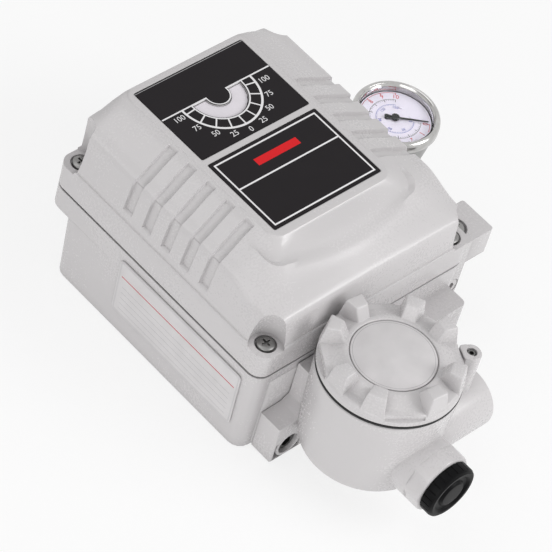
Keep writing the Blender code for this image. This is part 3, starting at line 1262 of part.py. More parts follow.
def make_motor():
    """Torque motor: yoke on two pads, two magnets, a coil and the armature on its pivot."""
    front, back = COIL_Y[0] - 0.002, MOTOR_PIVOT_Y + 0.006
    half = 0.024
    plate = block((-half, half), (front, back), (0.0200, 0.0240))
    walls = together(
        block((-half + 0.0001, -half + 0.004), (front + 0.0001, COIL_Y[1] + 0.002), (0.0230, 0.0460)),
        block((half - 0.004, half - 0.0001), (front + 0.0001, COIL_Y[1] + 0.002), (0.0230, 0.0460)),
        block((-0.005, 0.005), (MOTOR_PIVOT_Y - 0.005, MOTOR_PIVOT_Y + 0.005), (0.0230, 0.0297)),
    )
    holes = together(
        rod(0.0018, (0.0180, 0.0320), SMALL_ROUND, (0.0, MOTOR_PIVOT_Y)),
        *[rod(0.0018, (0.0180, 0.0260), SMALL_ROUND, (x - MOTOR_X, y)) for x, y in motor_screws()],
    )
    place = (MOTOR_X, 0.0, 0.0)
    iron = finish("yoke_iron", (0.30, 0.30, 0.31), 0.45, 1.0)
    yoke = piece("motor_yoke", plate, iron, at=place, add=(walls,), cut=(holes,))
    screws = []
    for number, (x, y) in enumerate(motor_screws(), start=1):
        shape = turned((
            (0.0, 0.0105), (0.0015, 0.0105), (0.0015, 0.0243), (0.0032, 0.0243), (0.0032, 0.0260),
            (0.0020, 0.0268), (0.0, 0.0268),
        ), SMALL_ROUND)
        slot = block((-0.004, 0.004), (-0.0004, 0.0004), (0.0258, 0.0290))
        steel = finish(f"motor_screw_steel_{number}", (0.5, 0.5, 0.5), 0.35, 1.0)
        screws.append(piece(f"motor_screw_{number}", shape, steel, at=(x, y, 0.0), cut=(slot,)))
    inner, outer = 0.0093, 0.0197
    magnets = []
    for side, name in ((-1, "magnet_left"), (1, "magnet_right")):
        x_range = sorted((side * inner, side * outer))
        shape = slab(x_range, COIL_Y, (0.0243, 0.0440), 0.001, 2)
        grey = finish(name + "_ferrite", (0.08, 0.08, 0.08), 0.5)
        magnets.append(piece(name, shape, grey, at=place))
    coil = slab((-0.0090, 0.0090), COIL_Y, (0.0243, 0.0455), 0.002, 3)
    tunnel = block((-0.0035, 0.0035), (COIL_Y[0] - RUN_OUT, COIL_Y[1] + RUN_OUT), (0.0275, 0.0425))
    copper = finish("coil_copper", (0.45, 0.20, 0.10), 0.4)
    coil_piece = piece("motor_coil", coil, copper, at=place, cut=(tunnel,))
    pivot = (MOTOR_X, MOTOR_PIVOT_Y, 0.0)
    far = NOZZLE_Y - MOTOR_PIVOT_Y - 0.0030
    post_y = LEVER_PIVOT.y - TAIL_LENGTH - MOTOR_PIVOT_Y
    hub = rod(0.0042, ARMATURE_Z, SMALL_ROUND)
    bar_z = (ARMATURE_Z[0] + 0.0001, ARMATURE_Z[1] - 0.0001)
    bar = block((-ARMATURE_HALF, ARMATURE_HALF), (far, post_y), bar_z)
    post_foot = rod(0.0032, (ARMATURE_Z[0] + 0.0002, ARMATURE_Z[1] + 0.0002), SMALL_ROUND, (0.0, post_y))
    post = rod(0.0015, (ARMATURE_Z[1] - 0.0010, SPRING_Z + 0.0020), SMALL_ROUND, (0.0, post_y))
    bore = rod(0.0018, (ARMATURE_Z[0] - RUN_OUT, ARMATURE_Z[1] + RUN_OUT), SMALL_ROUND)
    soft_iron = finish("armature_iron", (0.55, 0.55, 0.54), 0.35, 1.0)
    armature = piece("armature", hub, soft_iron, at=pivot, add=(bar, post_foot, post), cut=(bore,))
    pin = rod(0.0015, (0.0205, 0.0420), SMALL_ROUND)
    pin_steel = finish("armature_pin_steel", (0.6, 0.6, 0.6), 0.25, 1.0)
    pin_piece = piece("armature_pivot_pin", pin, pin_steel, at=pivot)
    return [yoke, *screws, *magnets, coil_piece, armature, pin_piece]


def make_nozzle():
    """Nozzle that faces the armature's end, and the block that feeds it."""
    block_x = (HALF_X - 0.0262, HALF_X - 0.0122)
    body = slab(block_x, (NOZZLE_Y - 0.007, NOZZLE_Y + 0.007), (FLOOR + GAP, 0.0410), 0.0015, 2)
    bore = along_x(rod(0.0028, (0.0, 0.0100), SMALL_ROUND), (block_x[0] - RUN_OUT, NOZZLE_Y, NOZZLE_Z))
    cast = finish("nozzle_block_aluminium", (0.65, 0.65, 0.66), 0.4, 1.0)
    holder = piece("nozzle_block", body, cast, cut=(bore,))
    tip_x = MOTOR_X + ARMATURE_HALF + 0.0008
    length = block_x[0] + 0.0070 - tip_x
    shape = turned((
        (0.0004, 0.0), (0.0010, 0.0), (0.0025, 0.0030), (0.0025, length), (0.0004, length),
    ), SMALL_ROUND)
    brass = finish("nozzle_brass", (0.60, 0.46, 0.22), 0.25, 1.0)
    nozzle = piece("nozzle", shape, brass, at=(tip_x, NOZZLE_Y, NOZZLE_Z), turn=(0.0, math.radians(90), 0.0))
    return holder, nozzle


def make_zero_wheel():
    """Toothed zero-adjusting wheel that turns on a spindle in its boss."""
    teeth = 16
    outline = []
    for index in range(teeth * 4):
        radius = 0.0095 if index % 4 in (0, 1) else 0.0087
        angle = 2 * math.pi * index / (teeth * 4)
        outline.append((radius * math.cos(angle), radius * math.sin(angle)))
    wheel_low = 0.0425
    bore = rod(0.0023, (wheel_low - RUN_OUT, wheel_low + 0.0070))
    place = (ZERO_X, ZERO_Y, 0.0)
    nylon = finish("zero_wheel_plastic", (0.05, 0.05, 0.05), 0.45)
    wheel = piece(
        "zero_adjusting_wheel", prism(outline, wheel_low, wheel_low + 0.0050), nylon,
        at=place, cut=(bore,),
    )
    shape = turned((
        (0.0, 0.0310), (0.0020, 0.0310), (0.0020, 0.0403), (0.0040, 0.0403), (0.0040, wheel_low - GAP),
        (0.0020, wheel_low - GAP), (0.0020, wheel_low + 0.0053), (0.0034, wheel_low + 0.0053),
        (0.0034, wheel_low + 0.0063), (0.0, wheel_low + 0.0063),
    ), SMALL_ROUND)
    steel = finish("zero_spindle_steel", (0.6, 0.6, 0.6), 0.25, 1.0)
    return wheel, piece("zero_spindle", shape, steel, at=place)


def main():
    """Builds the positioner, from the base up and then outwards."""
    clear_scene()
    make_base()
    make_gasket()
    make_cover()
    make_window_lens()
    make_labels()
    make_nameplate()
    make_cover_screws()
    make_terminal_housing()
    make_flange_bolts()
    make_cap_seal()
    make_cap()
    make_cap_disc()
    make_lock_screw()
    make_conduit_plug()
    make_terminal_strip()
    make_lead_through()
    make_pilot_block()
    make_block_screws()
    make_auto_screw()
    make_spool()
    make_gauge()
    make_shaft()
    make_shaft_bushes()
    make_cam()
    make_cam_nut()
    make_indicator()
    make_lever()
    make_feedback_spring()
    make_motor()
    make_nozzle()
    make_zero_wheel()


main()
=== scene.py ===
import json
import math

import bmesh
import bpy
from mathutils import Matrix, Vector

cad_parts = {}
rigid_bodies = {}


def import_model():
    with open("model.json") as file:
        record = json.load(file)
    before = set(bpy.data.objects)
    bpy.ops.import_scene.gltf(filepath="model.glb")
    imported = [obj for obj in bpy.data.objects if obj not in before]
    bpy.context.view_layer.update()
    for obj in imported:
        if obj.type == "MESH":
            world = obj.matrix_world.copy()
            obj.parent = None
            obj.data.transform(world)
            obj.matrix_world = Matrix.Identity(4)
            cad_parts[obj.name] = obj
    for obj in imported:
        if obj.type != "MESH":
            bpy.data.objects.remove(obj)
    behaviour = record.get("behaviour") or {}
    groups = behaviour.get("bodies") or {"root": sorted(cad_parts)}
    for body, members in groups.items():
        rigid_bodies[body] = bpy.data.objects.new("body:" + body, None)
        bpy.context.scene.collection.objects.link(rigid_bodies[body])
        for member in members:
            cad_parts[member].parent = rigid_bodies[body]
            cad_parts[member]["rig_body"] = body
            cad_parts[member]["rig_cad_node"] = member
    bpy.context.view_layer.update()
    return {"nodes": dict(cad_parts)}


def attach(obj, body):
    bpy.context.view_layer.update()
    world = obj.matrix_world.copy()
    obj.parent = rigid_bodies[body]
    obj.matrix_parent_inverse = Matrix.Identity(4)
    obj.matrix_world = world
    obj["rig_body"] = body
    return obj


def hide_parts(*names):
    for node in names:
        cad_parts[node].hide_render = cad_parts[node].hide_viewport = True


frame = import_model()

# The picture is taken with a long lens from above the left front corner, rolled a little to the
# right. The camera stands where the cover's and the base's own corners fall on the photographed ones.
view_turn = math.radians(-55.20)
view_tilt = math.radians(47.34)
view_roll = math.radians(17.06)
view_from = (-0.8786, -0.6720, 1.1899)
focal_length = 223.1
backward = Vector((
    math.sin(view_turn) * math.cos(view_tilt),
    -math.cos(view_turn) * math.cos(view_tilt),
    math.sin(view_tilt),
))
level = Vector((math.cos(view_turn), math.sin(view_turn), 0.0))
upright = backward.cross(level)
rightward = math.cos(view_roll) * level + math.sin(view_roll) * upright
upward = math.cos(view_roll) * upright - math.sin(view_roll) * level
lens = bpy.data.cameras.new("camera")
lens.lens = focal_length
lens.sensor_width = 36.0
camera = bpy.data.objects.new("camera", lens)
bpy.context.scene.collection.objects.link(camera)
turned_to_view = Matrix((rightward, upward, backward)).transposed().to_4x4()
camera.matrix_world = Matrix.Translation(view_from) @ turned_to_view
bpy.context.scene.camera = camera
bpy.context.scene.view_settings.view_transform = "Standard"

# Soft studio light: a pale room all round, one large lamp in front on the right, a wide one low on
# the left, and a weak one overhead. All three point at the middle of the object.
lamps_aim = Vector((0.0, -0.05, 0.04))
for lamp_name, spot, size, power in (
    ("front_lamp", (0.75, -1.35, 1.05), 0.9, 15.0),
    ("top_lamp", (-0.35, 0.55, 1.60), 1.1, 4.0),
    ("left_lamp", (-1.45, -0.75, 0.45), 1.3, 11.0),
):
    lamp = bpy.data.lights.new(lamp_name, "AREA")
    lamp.size = size
    lamp.energy = power
    lamp_object = bpy.data.objects.new(lamp_name, lamp)
    bpy.context.scene.collection.objects.link(lamp_object)
    aim = lamps_aim - Vector(spot)
    lamp_object.matrix_world = Matrix.Translation(spot) @ aim.to_track_quat("-Z", "Y").to_matrix().to_4x4()


# The room is white to the camera and in reflections, and dimmer as a light. The floor is a pale
# board that keeps the shadow under the object.
class Wire:
    """A socket of a material's node tree that can stand in a sum like a number."""

    def __init__(self, tree, socket):
        self.tree = tree
        self.socket = socket

    def node(self, kind, settings, values, result=0):
        """Any shader node: its type, its settings, and what its sockets are given."""
        made = self.tree.nodes.new("ShaderNode" + kind)
        for setting, value in settings.items():
            setattr(made, setting, value)
        for key, value in values.items():
            if isinstance(value, Wire):
                self.tree.links.new(value.socket, made.inputs[key])
            else:
                made.inputs[key].default_value = value
        return Wire(self.tree, made.outputs[result])

    def sum(self, operation, first, second=0.0):
        return self.node("Math", {"operation": operation}, {0: first, 1: second})

    def __add__(self, other):
        return self.sum("ADD", self, other)

    __radd__ = __add__

    def __sub__(self, other):
        return self.sum("SUBTRACT", self, other)

    def __rsub__(self, other):
        return self.sum("SUBTRACT", other, self)

    def __mul__(self, other):
        return self.sum("MULTIPLY", self, other)

    __rmul__ = __mul__

    def __truediv__(self, other):
        return self.sum("DIVIDE", self, other)

    def __gt__(self, other):
        return self.sum("GREATER_THAN", self, other)

    def __lt__(self, other):
        return self.sum("LESS_THAN", self, other)

    def __abs__(self):
        return self.sum("ABSOLUTE", self)

    def either(self, other):
        return self.sum("MAXIMUM", self, other)

    def noise(self, scale, detail=2.0):
        """Cloudy noise from 0 to 1 at this place, with this many features to the metre."""
        return self.node("TexNoise", {}, {"Vector": self, "Scale": scale, "Detail": detail})

    def mixed(self, first, second):
        """A colour between two, by this share from 0 to 1."""
        return self.node("Mix", {"data_type": "RGBA"}, {0: self, 6: first, 7: second}, result=2)

    def near(self, middle, half):
        """1 where this number is within half a width of a middle, and 0 elsewhere."""
        return abs(self - middle) < half

    def reach(self, other):
        """The distance from an axis, of which these are the two offsets."""
        return self.sum("SQRT", self * self + other * other)

    def off_whole(self):
        """How far this number is from the nearest whole one."""
        return abs(self - self.sum("ROUND", self))

    def axes(self):
        """The X, Y and Z of a place."""
        split = self.node("SeparateXYZ", {}, {0: self})
        return [Wire(self.tree, split.socket.node.outputs[i]) for i in range(3)]


def feed(shader, key, wire):
    """Joins a wire to one of the shader's own sockets."""
    wire.tree.links.new(wire.socket, shader.inputs[key])


def ray_kinds(tree):
    """1 for rays to the camera, in reflections and through glass, one wire for each kind."""
    kinds = tree.nodes.new("ShaderNodeLightPath").outputs
    return [Wire(tree, kinds[f"Is {kind} Ray"]) for kind in ("Camera", "Glossy", "Transmission")]


room = bpy.data.worlds.new("room")
room.use_nodes = True
bpy.context.scene.world = room
room_light = room.node_tree.nodes["Background"]
to_camera, to_gloss, to_glass = ray_kinds(room.node_tree)
mirrored = 0.85
seen = to_camera.either(to_gloss * mirrored).either(to_glass)
ambient = 0.47
room_light.inputs["Color"].default_value = (1.0, 1.0, 1.0, 1.0)
feed(room_light, "Strength", seen * (1.0 - ambient) + ambient)

bpy.ops.mesh.primitive_plane_add(size=8.0, location=(0.0, 0.0, -0.0004))
floor = bpy.context.object
floor.name = "floor"
board = bpy.data.materials.new("pale_board")
board.use_nodes = True
board.node_tree.nodes.remove(board.node_tree.nodes["Principled BSDF"])
lit = Wire(board.node_tree, board.node_tree.nodes.new("ShaderNodeBsdfDiffuse").outputs[0])
lit.socket.node.inputs["Color"].default_value = (0.92, 0.92, 0.92, 1.0)
white = lit.node("Emission", {}, {"Color": (1.0, 1.0, 1.0, 1.0), "Strength": 1.0})
to_camera, to_gloss, to_glass = ray_kinds(board.node_tree)
whiteness = 0.78
shown_white = to_camera.either(to_gloss).either(to_glass) * whiteness
mixed = lit.node("MixShader", {}, {0: shown_white, 1: lit, 2: white})
feed(board.node_tree.nodes["Material Output"], "Surface", mixed)
floor.data.materials.append(board)

# The base is one pressure casting in aluminium alloy, powder coated in light grey. The coat is
# glossy, with a faint orange peel, and its edges are rounded by the coat as well as by the mould.
PAINT = (0.615, 0.597, 0.602, 1.0)


def new_finish(name, **constants):
    """A material with its constants set, and the piece's own coordinates to paint it by."""
    material = bpy.data.materials.new(name)
    material.use_nodes = True
    shader = material.node_tree.nodes["Principled BSDF"]
    for key, value in constants.items():
        shader.inputs[key.replace("_", " ")].default_value = value
    corner = material.node_tree.nodes.new("ShaderNodeTexCoord")
    return material, shader, Wire(material.node_tree, corner.outputs["Object"])


def toned(shade, share):
    """A colour made darker or lighter by a share of each of its parts."""
    return (*(share * part for part in shade[:3]), 1.0)


def relief(shader, height, strength=0.10, depth=0.0001, rounding=0.0, samples=4):
    """Bumps a surface by a height, over edges that look rounded where a radius is given."""
    sockets = {"Strength": strength, "Distance": depth, "Height": height}
    if rounding:
        sockets["Normal"] = height.node("Bevel", {"samples": samples}, {"Radius": rounding})
    feed(shader, "Normal", height.node("Bump", {}, sockets))


def cast_paint(name, rounding=0.0006, peel=1.0, shade=PAINT):
    """Powder coat on a casting: cloudy colour, orange peel, painted shade in the hollows, soft edges."""
    material, shader, place = new_finish(name, IOR=1.5, Specular_IOR_Level=0.5)
    cloud = place.noise(22.0, 3.0)
    speck = place.noise(900.0, 1.0)
    tone = cloud.mixed(toned(shade, 0.94), toned(shade, 1.03))
    # Painted shade: the colour is darkened where ambient occlusion finds the surface hemmed in by the
    # casting.
    open_sky = place.node("AmbientOcclusion", {"samples": 6}, {"Distance": 0.006}, result=1)
    feed(shader, "Base Color", ((1.0 - open_sky) * 0.55).mixed(tone, toned(shade, 0.62)))
    feed(shader, "Roughness", 0.21 + cloud * 0.08 + speck * 0.04)
    relief(shader, speck * 0.6 + place.noise(310.0, 2.0), 0.10 * peel, 0.0004, rounding, 6)
    return material


def only(obj):
    """Deselects all, then selects this one and makes it the active one."""
    bpy.ops.object.select_all(action="DESELECT")
    obj.select_set(True)
    bpy.context.view_layer.objects.active = obj


def fit(obj, material, body, *nodes, crease=32.0):
    """Finishes a piece: shading, material, the body it rides on and the nodes it stands for."""
    only(obj)
    bpy.ops.object.shade_smooth_by_angle(angle=math.radians(crease))
    obj.data.materials.clear()
    obj.data.materials.append(material)
    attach(obj, body)
    if nodes:
        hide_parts(*nodes)


def recast(node, name):
    """A copy of a cast node with its loose triangles merged, so that it shades as one skin."""
    copy = frame["nodes"][node].copy()
    copy.data = copy.data.copy()
    copy.name = name
    copy.parent = None
    del copy["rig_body"]
    del copy["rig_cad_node"]
    bpy.context.scene.collection.objects.link(copy)
    only(copy)
    bpy.ops.object.mode_set(mode="EDIT")
    bpy.ops.mesh.select_all(action="SELECT")
    bpy.ops.mesh.remove_doubles(threshold=1e-6)
    bpy.ops.mesh.dissolve_limited(angle_limit=math.radians(0.5))
    bpy.ops.object.mode_set(mode="OBJECT")
    return copy


base_shell = recast("base_housing", "base_shell")
fit(base_shell, cast_paint("base_coat"), "housing", "base_housing")


# The gasket is a flat ring of black nitrile rubber that lies loose between the two castings and
# is squeezed by the four cover screws. Only its edge shows, as a black line.
def rubber(name, shade=0.012):
    """Moulded black rubber, matt, with a bloom where it has been handled."""
    material, shader, place = new_finish(name, IOR=1.5)
    bloom = place.noise(160.0, 3.0)
    feed(shader, "Base Color", bloom.mixed(toned((1.0, 1.0, 1.0), shade), toned((2.2, 2.2, 2.3), shade)))
    feed(shader, "Roughness", 0.55 + bloom * 0.25)
    relief(shader, place.noise(2400.0, 1.0), 0.2, 0.0002)
    return material


def dress(node, material):
    """Gives a CAD node that stays as it is its real finish."""
    for slot in frame["nodes"][node].material_slots:
        slot.material = material


dress("cover_gasket", rubber("gasket_black"))

# The cover is the upper casting: a flange, a lip, walls that lean in to a shoulder, and a crowned
# roof that rises to a flat plateau. Five flutes a side run over the shoulder and down the wall.
HALF_X = 0.0662
FRONT_Y = -0.1147
BACK_Y = 0.0267
FLUTE_CENTRES = [-0.0147 - 0.0129 * number for number in range(5)]
FLUTE_SLANT = 0.0040
FLUTE_DEPTH = 0.0017
FLUTE_START_X = 0.0388
FLUTE_FOOT_Z = 0.0710
SHOULDER_X = 0.0615
CORNER_PARTS = 10
FRONT_PARTS = 10
LEAST_RUN = 0.001
STILL_FRONT_Y = -0.0745
STILL_BACK_Y = 0.0135


def soft_step(value, low, high):
    """0 below the low limit, 1 above the high one, with a soft change between them."""
    part = min(max((value - low) / (high - low), 0.0), 1.0)
    return part * part * (3.0 - 2.0 * part)


def side_columns():
    """The y places of a side wall's columns, close together at the flutes' edges."""
    columns = {STILL_FRONT_Y, STILL_BACK_Y, -0.0070, -0.0010, 0.0050, 0.0100}
    for centre in FLUTE_CENTRES:
        for offset in (0.0, 0.0012, 0.0021, 0.0025, 0.0029, 0.0033, 0.0048, 0.00645):
            columns.add(round(centre - offset, 6))
            columns.add(round(centre + offset, 6))
    return sorted(column for column in columns if STILL_FRONT_Y <= column <= STILL_BACK_Y)


def run_down(x):
    """How far a place is on its way from the flutes' upper ends to the shoulder, from 0 to 1."""
    return min(max((abs(x) - FLUTE_START_X) / (SHOULDER_X - FLUTE_START_X), 0.0), 1.0)


def corner_points(x, y, radius, start):
    """The points inside a quarter turn about a corner's centre."""
    turns = [math.radians(start + 90 * n / CORNER_PARTS) for n in range(1, CORNER_PARTS)]
    return [(x + radius * math.cos(turn), y + radius * math.sin(turn)) for turn in turns]


def level_line(half_x, front, back, radius, side_z, front_z, bow):
    """One level line of the cover as points: up the right side, round the back and down the left."""
    inner_x, front_end, back_end = half_x - radius, front + radius, back - radius
    low, high = max(STILL_FRONT_Y, front_end + LEAST_RUN), min(STILL_BACK_Y, back_end - LEAST_RUN)
    squeeze = (high - low) / (STILL_BACK_Y - STILL_FRONT_Y)
    column_y = [front_end + (low - front_end) * n / FRONT_PARTS for n in range(FRONT_PARTS)]
    column_y += [low + (y - STILL_FRONT_Y) * squeeze for y in side_columns()]
    column_y += [high + (back_end - high) * n / 2 for n in (1, 2)]
    right = []
    for y in column_y:
        shift = FLUTE_SLANT * run_down(half_x) * (1.0 - soft_step(y, -0.010, STILL_BACK_Y))
        if y < low:
            shift *= (y - front_end) / (low - front_end)
        right.append((half_x, y - shift))
    back_edge = [(inner_x * (1 - n / 8), back) for n in range(17)]
    front_edge = []
    for n in range(25):
        across = n / 24
        front_edge.append((-inner_x + 2 * inner_x * across, front - bow * math.sin(math.pi * across)))
    outline = [
        *right, *corner_points(inner_x, back_end, radius, 0),
        *back_edge, *corner_points(-inner_x, back_end, radius, 90),
        *((-x, y) for x, y in reversed(right)), *corner_points(-inner_x, front_end, radius, 180),
        *front_edge, *corner_points(inner_x, front_end, radius, 270),
    ]
    fall_front, fall_back = (-0.103, -0.080) if front < -0.09 else (front, front + 0.02)
    fall = side_z - front_z
    return [Vector((x, y, front_z + fall * soft_step(y, fall_front, fall_back))) for x, y in outline]


def partway(first, second, share):
    """A level line part of the way from one to the next."""
    return tuple(a + (b - a) * share for a, b in zip(first, second))


# Each line: its half width, front, back, corner radius, height at the sides, height at the front,
# and how far its front bows out. An outside line also has the shares at which lines follow it.
inside_lines = (
    (0.0360, -0.0770, 0.0170, 0.012, 0.0915, 0.0915, 0.0),
    (0.0525, -0.0975, 0.0140, 0.022, 0.0815, 0.0815, 0.0),
    (0.0550, -0.1035, 0.0165, 0.023, 0.0770, 0.0770, 0.0),
    (0.0575, -0.1060, 0.0190, 0.024, 0.0518, 0.0518, 0.0),
)
outside_lines = (
    ((HALF_X, FRONT_Y, BACK_Y, 0.0066, 0.0518, 0.0518, 0.0), (0.5,)),
    ((HALF_X, FRONT_Y, BACK_Y, 0.0066, 0.0661, 0.0661, 0.0), (0.5,)),
    ((0.0659, -0.1144, 0.0264, 0.0064, 0.0666, 0.0666, 0.0), ()),
    ((0.0652, -0.1137, 0.0257, 0.0058, 0.0668, 0.0668, 0.0),
     (0.04, 0.12, 0.17, 0.20, 0.23, 0.30, 0.45, 0.65, 0.85)),
    ((0.0618, -0.1116, 0.0249, 0.0080, 0.0868, 0.0808, 0.0), (0.4, 0.7)),
    ((0.0609, -0.1105, 0.0247, 0.0084, 0.0880, 0.0824, 0.0), (0.5,)),
    ((0.0597, -0.1090, 0.0246, 0.0086, 0.0885, 0.0832, 0.0005), (0.25, 0.5, 0.75)),
    ((0.0550, -0.1030, 0.0244, 0.0090, 0.0897, 0.0857, 0.0020), (0.25, 0.5, 0.75)),
    ((0.0480, -0.0945, 0.0242, 0.0085, 0.0926, 0.0885, 0.0055), (0.25, 0.5, 0.75)),
    ((0.0415, -0.0845, 0.0238, 0.0075, 0.0948, 0.0930, 0.0060), (0.35, 0.48, 0.60, 0.72, 0.85)),
    ((0.0370, -0.0815, 0.0234, 0.0060, 0.0955, 0.0955, 0.0), (0.5,)),
    ((0.0366, -0.0811, 0.0230, 0.0057, 0.0959, 0.0959, 0.0), ()),
    ((0.0360, -0.0805, 0.0224, 0.0051, 0.0960, 0.0960, 0.0), ()),
)
lines = [level_line(*line) for line in inside_lines]
inside_count = len(lines)
for (line, shares), following in zip(outside_lines, outside_lines[1:] + outside_lines[-1:]):
    lines.append(level_line(*line))
    lines.extend(level_line(*partway(line, following[0], share)) for share in shares)


def flute_share(spot):
    """How deep the flutes are at a place of a side: 0 outside them and 1 on their floors."""
    unslanted_y = spot.y + FLUTE_SLANT * run_down(spot.x)
    nearest = min(abs(unslanted_y - centre) for centre in FLUTE_CENTRES)
    across = 1.0 - soft_step(nearest, 0.00252, 0.00288)
    along = soft_step(abs(spot.x), FLUTE_START_X - 0.0004, FLUTE_START_X + 0.0008)
    return across * along * soft_step(spot.z, FLUTE_FOOT_Z - 0.0005, FLUTE_FOOT_Z + 0.0005)


def sunk(row, column):
    """A point of the outside, let into the surface where a flute runs."""
    spot = lines[row][column]
    share = flute_share(spot)
    if share <= 0.0:
        return spot
    above = lines[min(row + 1, len(lines) - 1)][column]
    below = lines[max(row - 1, inside_count)][column]
    slope = Vector((above.x - below.x, 0.0, above.z - below.z)).normalized()
    inward = Vector((-math.copysign(slope.z, spot.x), 0.0, -abs(slope.x)))
    return spot + inward * FLUTE_DEPTH * share


column_count = len(lines[0])
skin = bmesh.new()
rows = []
for row, line in enumerate(lines):
    if row < inside_count:
        rows.append([skin.verts.new(point) for point in line])
    else:
        rows.append([skin.verts.new(sunk(row, column)) for column in range(column_count)])
for low_row, high_row in zip(rows, rows[1:]):
    for column in range(column_count):
        following = (column + 1) % column_count
        skin.faces.new((low_row[column], low_row[following], high_row[following], high_row[column]))
skin.faces.new(list(reversed(rows[0])))
skin.faces.new(rows[-1])
bmesh.ops.recalc_face_normals(skin, faces=skin.faces)
cover_mesh = bpy.data.meshes.new("cover_casting")
skin.to_mesh(cover_mesh)
skin.free()
cover = bpy.data.objects.new("cover_casting", cover_mesh)
bpy.context.scene.collection.objects.link(cover)


def carve(obj, tool, operation="DIFFERENCE"):
    """Cuts a tool out of a piece, or joins it on, and takes the tool away."""
    only(obj)
    modifier = obj.modifiers.new(operation.lower(), "BOOLEAN")
    modifier.operation = operation
    modifier.solver = "MANIFOLD"
    modifier.object = tool
    bpy.ops.object.modifier_apply(modifier=modifier.name)
    bpy.data.objects.remove(tool, do_unlink=True)


def spun(name, outline, sides=48, at=(0.0, 0.0, 0.0), axis="Z"):
    """A turned piece: its closed outline of (radius, height) points, spun round the axis."""
    bpy.ops.mesh.primitive_circle_add(vertices=len(outline), radius=0.01)
    obj = bpy.context.object
    obj.name = name
    for vertex, (radius, height) in zip(obj.data.vertices, outline):
        vertex.co = (radius, 0.0, height)
    bpy.ops.object.mode_set(mode="EDIT")
    bpy.ops.mesh.select_all(action="SELECT")
    bpy.ops.mesh.spin(steps=sides, angle=2 * math.pi, center=(0, 0, 0), axis=(0, 0, 1))
    bpy.ops.mesh.select_all(action="SELECT")
    bpy.ops.mesh.remove_doubles(threshold=1e-6)
    bpy.ops.mesh.normals_make_consistent(inside=False)
    bpy.ops.object.mode_set(mode="OBJECT")
    laid = {
        "Z": Matrix.Identity(4),
        "X": Matrix.Rotation(math.radians(90), 4, "Y"),
        "Y": Matrix.Rotation(math.radians(-90), 4, "X"),
    }[axis]
    obj.data.transform(Matrix.Translation(at) @ laid)
    return obj


def bar(name, radius, low, high, sides, at=(0.0, 0.0), lean=(0.0, 0.0)):
    """A round or six-sided bar from a cylinder primitive, which leans as it rises if asked."""
    bpy.ops.mesh.primitive_cylinder_add(
        vertices=sides, radius=radius, depth=high - low, location=(0.0, 0.0, (high + low) / 2),
    )
    obj = bpy.context.object
    obj.name = name
    bpy.ops.object.transform_apply()
    for vertex in obj.data.vertices:
        rise = (vertex.co.z - low) / (high - low)
        vertex.co.x += at[0] + lean[0] * rise
        vertex.co.y += at[1] + lean[1] * rise
    return obj


def milled(name, x_range, y_range, z_range, corner=0.0, parts=3):
    """A block from a cube primitive, with its upright edges rounded if asked."""
    ranges = (x_range, y_range, z_range)
    bpy.ops.mesh.primitive_cube_add(size=1.0, location=[(low + high) / 2 for low, high in ranges])
    obj = bpy.context.object
    obj.name = name
    obj.scale = [high - low for low, high in ranges]
    bpy.ops.object.transform_apply()
    bpy.ops.object.mode_set(mode="EDIT")
    bpy.ops.mesh.select_mode(type="EDGE")
    if corner:
        bpy.ops.mesh.select_all(action="DESELECT")
        mesh = bmesh.from_edit_mesh(obj.data)
        for edge in mesh.edges:
            edge.select = abs(edge.verts[0].co.z - edge.verts[1].co.z) > 1e-6
        bmesh.update_edit_mesh(obj.data)
        bpy.ops.mesh.bevel(offset=corner, segments=parts, affect="EDGES")
    bpy.ops.object.mode_set(mode="OBJECT")
    return obj


# Over each cover screw the mould leaves a round hollow that leans outwards and fades out at the
# shoulder, with a flat seat and a sunk hole for the screw's head.
SCREW_SPOTS = ((-0.0582, 0.0192), (0.0582, 0.0192), (0.0582, -0.1072), (-0.0582, -0.1072))
HOLLOW_RADIUS = 0.0082
HOLLOW_SHIFT = 0.0013
FRONT_LEAN = 0.0070
BACK_LEAN = 0.0040
for screw_x, screw_y in SCREW_SPOTS:
    out_x, out_y = math.copysign(1.0, screw_x), math.copysign(1.0, screw_y)
    foot = (screw_x + HOLLOW_SHIFT * out_x, screw_y + HOLLOW_SHIFT * out_y)
    lean = FRONT_LEAN if screw_y < 0.0 else BACK_LEAN
    carve(cover, bar("hollow", HOLLOW_RADIUS, 0.0650, 0.1000, 40, foot, (lean * out_x, lean * out_y)))
    carve(cover, spun("seat", (
        (0.0, 0.0498), (0.0025, 0.0498), (0.0025, 0.0633), (0.0052, 0.0633), (0.0052, 0.0672), (0.0, 0.0672),
    ), 32, (screw_x, screw_y, 0.0)))

# The plateau has a shallow pocket for each label, a little larger all round, and a half-round
# window over the shaft. Both come out of the mould with the casting.
LABEL_X = 0.0331
UPPER_LABEL = (-0.0277, 0.0195)
LOWER_LABEL = (-0.0765, -0.0315)
POCKET_GAP = 0.0003
WINDOW_Y = -0.0008
WINDOW_BACK_Y = -0.0003
WINDOW_RADII = (0.0066, 0.0146)
pocket_x = LABEL_X + POCKET_GAP
for low, high in (UPPER_LABEL, LOWER_LABEL):
    pocket_y = (low - POCKET_GAP, high + POCKET_GAP)
    carve(cover, milled("pocket", (-pocket_x, pocket_x), pocket_y, (0.0955, 0.0980), 0.0008))


def half_ring(name, low, high):
    """The window's half ring in front of the shaft's axis: a turned ring without its back half."""
    inner, outer = WINDOW_RADII
    ring = spun(name, ((inner, low), (outer, low), (outer, high), (inner, high)), 64, (0.0, WINDOW_Y, 0.0))
    carve(ring, milled("back_half", (-0.03, 0.03), (WINDOW_BACK_Y, 0.03), (low - 0.01, high + 0.01)))
    return ring


carve(cover, half_ring("window_hole", 0.0890, 0.0970))
fit(cover, cast_paint("cover_coat", 0.0004), "cover", "top_cover", crease=34.0)
